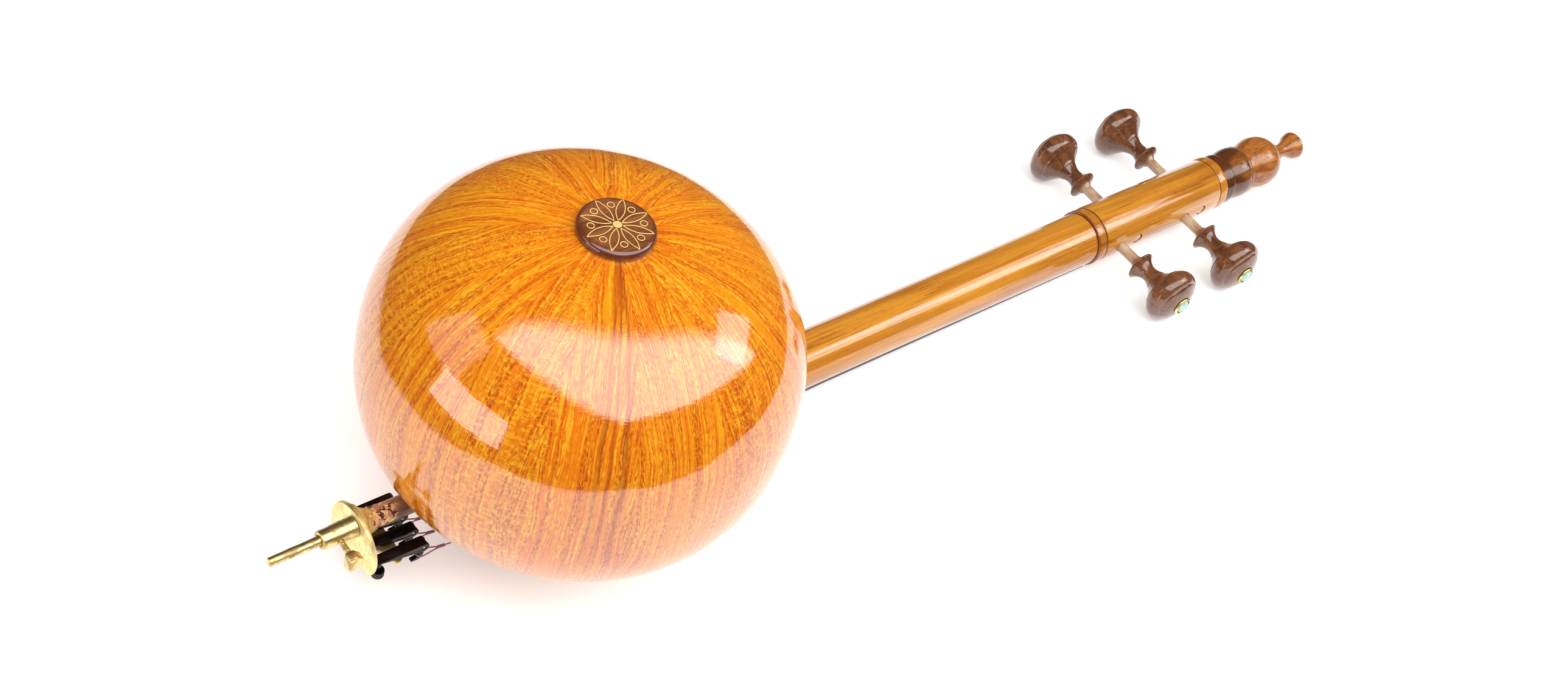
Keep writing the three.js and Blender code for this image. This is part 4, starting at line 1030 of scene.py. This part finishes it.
# %% Tail plate
def plate_rule():
    centre_z = -63.6
    r = Rule("plate_rule", Radius=17.7 * MM, Chord=9.2 * MM, Thickness=2.2 * MM, Steps=96)
    start = r.math("ARCSINE", r.math("DIVIDE", r["Chord"], r["Radius"]))
    sweep = r.scaled(start, 2.0, math.pi)
    arc = r.geo("CurveArc", {"Resolution": r["Steps"], "Radius": r["Radius"],
                             "Start Angle": r.times(start, -1.0), "Sweep Angle": sweep})
    closed = r.geo("SetSplineCyclic", {"Geometry": arc, "Cyclic": True})
    face = r.geo("FillCurve", {"Curve": closed}, mode="NGONS")
    solid = r.geo("ExtrudeMesh", {"Mesh": face, "Offset Scale": r["Thickness"], "Individual": False})
    whole = r.together(solid, r.geo("FlipFaces", {"Mesh": face}))
    upright = Matrix.Rotation(math.pi / 2, 4, "Z") @ Matrix.Rotation(math.pi / 2, 4, "X")
    stand = Matrix.Translation(place(PLATE_X, 0, centre_z)) @ upright
    return r.run("plate", whole, BRASS_PLATE, stand)


plate = eased(plate_rule(), 0.35, 3, 40)
dressed(plate, BRASS_PLATE, "tail_plate")
low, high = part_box("tail_plate")
made = [v.co for v in plate.data.vertices]
print("plate x", round(min(v.x for v in made) - low.x, 5), round(max(v.x for v in made) - high.x, 5),
      "z", round(min(v.z for v in made) - low.z, 5), round(max(v.z for v in made) - high.z, 5))

# %% [markdown]
# ## Tail tube, socket and rod
# These three are turned. The braze has run over the tube and left it lumpy. The lumps are too
# high for a bump, so a smooth noise moves the tube's own points in and out there.

# %% Tail tube, socket and rod
tube = turned("tube", [
    (-0.3, 2.9), (-0.3, 9.6), [(0.1, 8.7), (1.2, 7.5), (3.0, 6.3), (5.2, 5.45), (8, 5.0)],
    *[(8.4 + 0.4 * i, 5.0) for i in range(24)], (39.887, 5), (39.887, 2.9), (-0.3, 2.9)],
    "x", (PLATE_X + 2.5, 0, TAIL_Z), 96, 6)
axis = place(0, 0, TAIL_Z)
for v in tube.data.vertices:
    reach = math.hypot(v.co.y, v.co.z - axis.z)
    along = v.co.x / MM - SHIFT_X - PLATE_X
    if reach > 4.5 * MM and 3.0 < along < 19.5:
        lump = noise.fractal(v.co * 620, 0.9, 2.0, 2)
        share = min(1.0, (along - 3.0) / 3.0, (19.5 - along) / 4.0)
        grow = 1 + max(-0.03, 0.11 * lump) * share
        v.co = Vector((v.co.x, v.co.y * grow, axis.z + (v.co.z - axis.z) * grow))
dressed(tube, OXIDE, "tail_tube")
socket = turned("socket", [
    (-17.1, 2.75), (-17.1, 3.9), [(-16.95, 4.25), (-16.6, 4.4)], (-0.5, 4.98), [(-0.3, 5.0), (-0.3, 4.6)],
    (-0.3, 2.75), (-17.1, 2.75)],
    "x", (PLATE_X, 0, TAIL_Z), 72, 4)
cut(socket, turned("screw_way", [(-20, 0), (-20, 1.6), (0, 1.6), (0, 0)], "y", (CLAMP_X, 0, TAIL_Z), 32))
smooth(socket)
dressed(socket, BRASS, "spike_socket")
rod = turned("rod", [(-41.6, 0), (-41.6, 1.6), [(-41.5, 2.0), (-41.1, 2.2)], (-17.3, 2.4), (26.4, 2.55),
                     (26.4, 0)], "x", (PLATE_X, 0, TAIL_Z), 56, 4)
dressed(rod, BRASS, "spike_rod", body="rod")
print("tail turned")

# %% [markdown]
# ## Clamp screw
# The thread is a ridge that winds round the shank. Geometry Nodes sweeps a small wedge along a
# helix, with the pitch as a named size. The head is a filed block with a rounded end.

# %% Clamp screw
def wound(name, material, stand, sides, steps, **sizes):
    """A wire, or the ridge of a thread, wound in a helix."""
    r = Rule(f"{name}_rule", **{label: size * MM for label, size in sizes.items()})
    turns = r.math("DIVIDE", r["Length"], r["Pitch"])
    helix = r.geo("CurveSpiral", {"Resolution": steps, "Rotations": turns, "Start Radius": r["Radius"],
                                  "End Radius": r["End_radius"], "Height": r["Length"]})
    return r.run(name, r.swept(helix, r.circle(sides, r["Wire"])), material, stand)


stand = Matrix.Translation(place(CLAMP_X, -12.8, TAIL_Z)) @ Matrix.Rotation(-math.pi / 2, 4, "X")
thread = wound("clamp_thread", BRASS, stand, 4, 20, Radius=1.2, End_radius=1.2, Length=9.7, Pitch=0.5,
               Wire=0.16)
dressed(smooth(thread, 20), BRASS, body="clamp")
shank = turned("clamp_shank", [(-13.1, 0), (-13.1, 1.18), (-3.2, 1.18), (-2.95, 0.9), (-2.95, 0)],
               "y", (CLAMP_X, 0, TAIL_Z), 40)
dressed(shank, BRASS, body="clamp")
head = block("clamp_head", (CLAMP_X - 3.6, -18, TAIL_Z - 4.5), (CLAMP_X + 3.6, -13, TAIL_Z + 4.5))
head_edges = opened(head.data)
corner = place(CLAMP_X, 0, TAIL_Z)
top_edges = [e for e in head_edges.edges if all(v.co.z > corner.z and v.co.x > corner.x for v in e.verts)]
bmesh.ops.bevel(head_edges, geom=top_edges, offset=3.2 * MM, segments=1, affect="EDGES")
stored(head_edges, head.data)
eased(head, 0.9, 4, 20)
dressed(head, BRASS, "clamp_screw", body="clamp")
print("clamp made, thread has", len(thread.data.polygons), "faces")

# %% [markdown]
# ## Fine tuners
# Four small black tuners stand on a ledge of the plate. Each has a frame, a hooked lever on a
# pin, and a knurled screw that presses the lever. The frames and levers are eased copies.

# %% Tuner frames and levers
eased_copy("tuner_deck", "deck", 0.3, BRASS_PLATE, angle=40)
for number, y in enumerate(TUNERS_Y, 1):
    eased_copy(f"tuner_body_{number}", f"tuner_frame_{number}", 0.45, BLACK)
    eased_copy(f"tuner_lever_{number}", f"lever_arm_{number}", 0.25, BLACK, f"lever_{number}")
    pin = turned(f"pin_{number}", [
        (-2.55, 0), (-2.5, 0.45), (-2.3, 0.66), (2.3, 0.66), (2.5, 0.45), (2.55, 0)],
        "y", (PIN_X, y, PIN_Z), 24)
    dressed(pin, STEEL, f"tuner_pin_{number}")
print("tuner pins turned")

# %% [markdown]
# ## Knurled screws
# Fingers need a grip on the small screws, so their heads are knurled. The screw is turned, and
# the knurl is a ring of small teeth: one tooth is drawn, and Geometry Nodes repeats it.

# %% Knurled screws
def knurl_rule(number, y):
    r = Rule(f"knurl_rule_{number}", Core=2.6 * MM, Tooth=0.34 * MM, Height=3.6 * MM, Count=26)
    tooth = r.geo("MeshCylinder", {"Vertices": 6, "Radius": r["Tooth"], "Depth": r["Height"]})
    tooth = r.moved(tooth, r.join(r["Core"]))
    stand = Matrix.Translation(place(SCREW_X, y, -75.3))
    return r.run(f"knurl_{number}", r.round_about(tooth, r["Count"]), BLACK, stand)


for number, y in enumerate(TUNERS_Y, 1):
    knurl = smooth(knurl_rule(number, y), 20)
    dressed(knurl, BLACK, body=f"screw_{number}")
    screw = turned(f"screw_{number}_core", [
        (-77.3, 0), (-77.3, 2.3), [(-77.2, 2.5), (-77.0, 2.6)], (-73.6, 2.6), (-73.3, 2.3), (-73.3, 1.1),
        (-69.3, 1.1), (-69.3, 0)],
        "z", (SCREW_X, y, 0), 48, 3)
    dressed(screw, BLACK, f"tuner_screw_{number}", body=f"screw_{number}")
print("screws knurled")

# %% [markdown]
# ## Finish of what stays as it is
# The pieces inside the bowl, and the strings with their loops, keep the solid's own shape and
# only get a finish.

# %% Remaining finishes
kept = {"rim_hoop": MAPLE, "tail_block": SPRUCE, "neck_block": SPRUCE, "neck_dowel": MAPLE,
        "through_rod": STEEL}
for number in range(1, 5):
    kept[f"string_{number}"] = kept[f"string_loop_{number}"] = STRING
for node, material in kept.items():
    finished(frame["nodes"][node], material)
print("finished in place:", len(kept))

# %% [markdown]
# ## Twisted string ends
# The loop over a tuner's hook is closed by winding the string's end round the string. A Geometry
# Nodes helix draws that short winding, in line with the string that leaves the loop.

# %% String wraps
for number in range(1, 5):
    node = frame["nodes"][f"string_{number}"]
    points = sorted((node.matrix_world @ v.co for v in node.data.vertices), key=lambda point: point.x)
    ring = sum(point.x < points[0].x + 0.5 * MM for point in points)
    start, beyond = (sum(part, Vector()) / ring for part in (points[:ring], points[ring:2 * ring]))
    way = (beyond - start).normalized()
    stand = Matrix.Translation(start) @ way.to_track_quat("Z", "Y").to_matrix().to_4x4()
    wrap = wound(f"string_wrap_{number}", STRING, stand, 8, 18, Radius=0.52, End_radius=0.442, Length=4.6,
                 Pitch=0.72, Wire=0.31)
    dressed(smooth(wrap, 40), STRING)
print("string ends wound:", len(wrap.data.polygons), "faces each")

# %% [markdown]
# ## Floor
# The floor is a white sheet that ends about half a metre from the bowl, because the lacquer
# mirrors that edge as a line round the bowl's lower part. On the tail's side the edge fades: each
# point notes how far inside it is, and mirrored rays see less of the sheet near its edge.

# %% Floor
def flat_sheet(name, corners, material):
    mesh = bpy.data.meshes.new(name)
    mesh.from_pydata([place(*c) for c in corners], [], [range(len(corners))])
    mesh.materials.append(material)
    piece = new_object(name, mesh)
    return piece


def soft_edged(sheet, width, fades=lambda corner: True):
    """Notes on each point how far it is inside: 0 at the edges that fade, 1 from a width inwards."""
    shape = opened(sheet.data)
    inside = shape.verts.layers.float.new("inside")
    outer = set(shape.verts)
    bmesh.ops.inset_region(shape, faces=shape.faces[:], thickness=width * MM, use_boundary=True)
    for v in shape.verts:
        v[inside] = 0.0 if v in outer and fades(v.co) else 1.0
    stored(shape, sheet.data)
    return sheet


WHITE, SHEET_GLOW = (1, 1, 1, 1), 0.36
white = Finish("white_sheet", Roughness=0.6)
rays = white.node("ShaderNodeLightPath")
outside = white.minus(1.0, white.noted("inside"))
dim = white.minus(1.0, white.times(rays["Is Glossy Ray"], outside))
paper = white.mix(white.noise(white.here(), (3, 3, 3)), (0.94, 0.94, 0.94), (0.97, 0.97, 0.97))
white.bump(white.noise(white.here(), 900), 0.00002, 0.2)
seen = white.math("MAXIMUM", rays["Is Glossy Ray"], rays["Is Transmission Ray"])
seen = white.math("MAXIMUM", rays["Is Camera Ray"], seen)
white.set("Emission Color", WHITE)
white.set("Emission Strength", white.times(seen, SHEET_GLOW, dim))
SHEET = [(-360, 160), (-505, -212), (-200, -520), (250, -700), (620, -830), (820, -450), (1010, -60),
         (980, 60), (640, 210), (340, 310), (184, 420), (80, 490), (-121, 580), (-210, 400), (-260, 230)]
FADE_WIDTH, tail_side = 55, place(-100, -300, 0)
white.painted(white.mix(dim, (0.03, 0.03, 0.03), paper))
sheet = flat_sheet("table", [(x, y, -LIFT - 0.05) for x, y in SHEET], white.material)
soft_edged(sheet, FADE_WIDTH, lambda corner: corner.x < tail_side.x and corner.y > tail_side.y)
print("floor corners:", len(SHEET))

# %% [markdown]
# ## World
# The world lights faintly from all sides, so that the shade keeps its depth. Only the camera sees
# it as plain white, which leaves a clean background.

# %% World
FAINT = 0.07
world = bpy.data.worlds.new("white_room")
scene.world = world
world.use_nodes = True
sky = Wiring(world.node_tree)
room = sky.tree.nodes["Background"]
sky.feed(room.inputs["Color"], WHITE)
sky.feed(room.inputs["Strength"], FAINT)
clear = sky.node("ShaderNodeBackground", {"Color": WHITE, "Strength": 1.0})[0]
camera_ray = sky.node("ShaderNodeLightPath")["Is Camera Ray"]
shown = sky.node("ShaderNodeMixShader", {0: camera_ray, 1: room.outputs[0], 2: clear})[0]
sky.feed(sky.tree.nodes["World Output"].inputs[0], shown)
print("world lights at", FAINT)

# %% [markdown]
# ## Panels and lamps
# A very wide soft panel hangs overhead on the camera's side, and a small bright one stands low on
# the left. Their corners come from where their reflections lie on the bowl: each is a direction
# that the lacquer mirrors into the camera. Their edges fade, because a panel with a hard edge
# would draw a sharp line in the lacquer. The camera doesn't see them. Soft boxes do the rest,
# and two that only fill the shade leave no reflection.

# %% Lights
def glow(name, strength):
    """A shining surface, as bright as strength inside and faint at its edge."""
    f = Finish(name, Base_Color=(0, 0, 0, 1), Emission_Color=WHITE)
    f.set("Emission Strength", f.between(f.noted("inside"), 0.0, 1.0, FAINT, strength))
    return f.material


def panel(name, height, directions, strength, fade_width):
    """A level panel over the bowl; its corners are directions (azimuth, elevation) in degrees."""
    corners = []
    for azimuth, elevation in directions:
        reach = height / math.tan(math.radians(elevation))
        a = math.radians(azimuth)
        corners.append((reach * math.cos(a), reach * math.sin(a), height))
    made = soft_edged(flat_sheet(name, corners, glow(name, strength)), fade_width)
    made.visible_camera = False


def lamp(name, azimuth, elevation, distance, width, height, power):
    """A soft box in a direction from the bowl, in degrees, facing the bowl."""
    data = bpy.data.lights.new(name, "AREA")
    data.shape, data.size, data.size_y, data.energy = "RECTANGLE", width, height, power
    made = new_object(name, data)
    a, e = math.radians(azimuth), math.radians(elevation)
    way = Vector((math.cos(e) * math.cos(a), math.cos(e) * math.sin(a), math.sin(e)))
    made.location = place(0, 0, 0) + way * distance
    made.rotation_euler = way.to_track_quat("Z", "Y").to_euler()
    return made


OVERHEAD = [(140, 62), (128, 76), (-13, 85), (-23, 72), (-19, 56), (-19, 46), (-18.5, 34), (-23, 17),
            (-31, 20), (-38, 24), (-58, 30), (-82, 34), (-106, 33), (-124, 39), (-145, 47), (156, 48)]
panel("overhead_panel", 1300, OVERHEAD, 3.5, 270)
panel("left_panel", 800, [(136, 14), (136, 46), (168, 46), (168, 14)], 1.1, 130)
lamp("side_box", -22, 34, 1.7, 0.62, 0.5, 2.6)
lamp("window", 180, 7, 1.6, 1.15, 0.6, 6.5)
for fill in (lamp("far_fill", 40, 40, 2.6, 2.2, 1.6, 17), lamp("left_fill", 150, 45, 2.4, 2.0, 1.6, 21)):
    fill.visible_glossy = False
scene.view_settings.view_transform = "Standard"
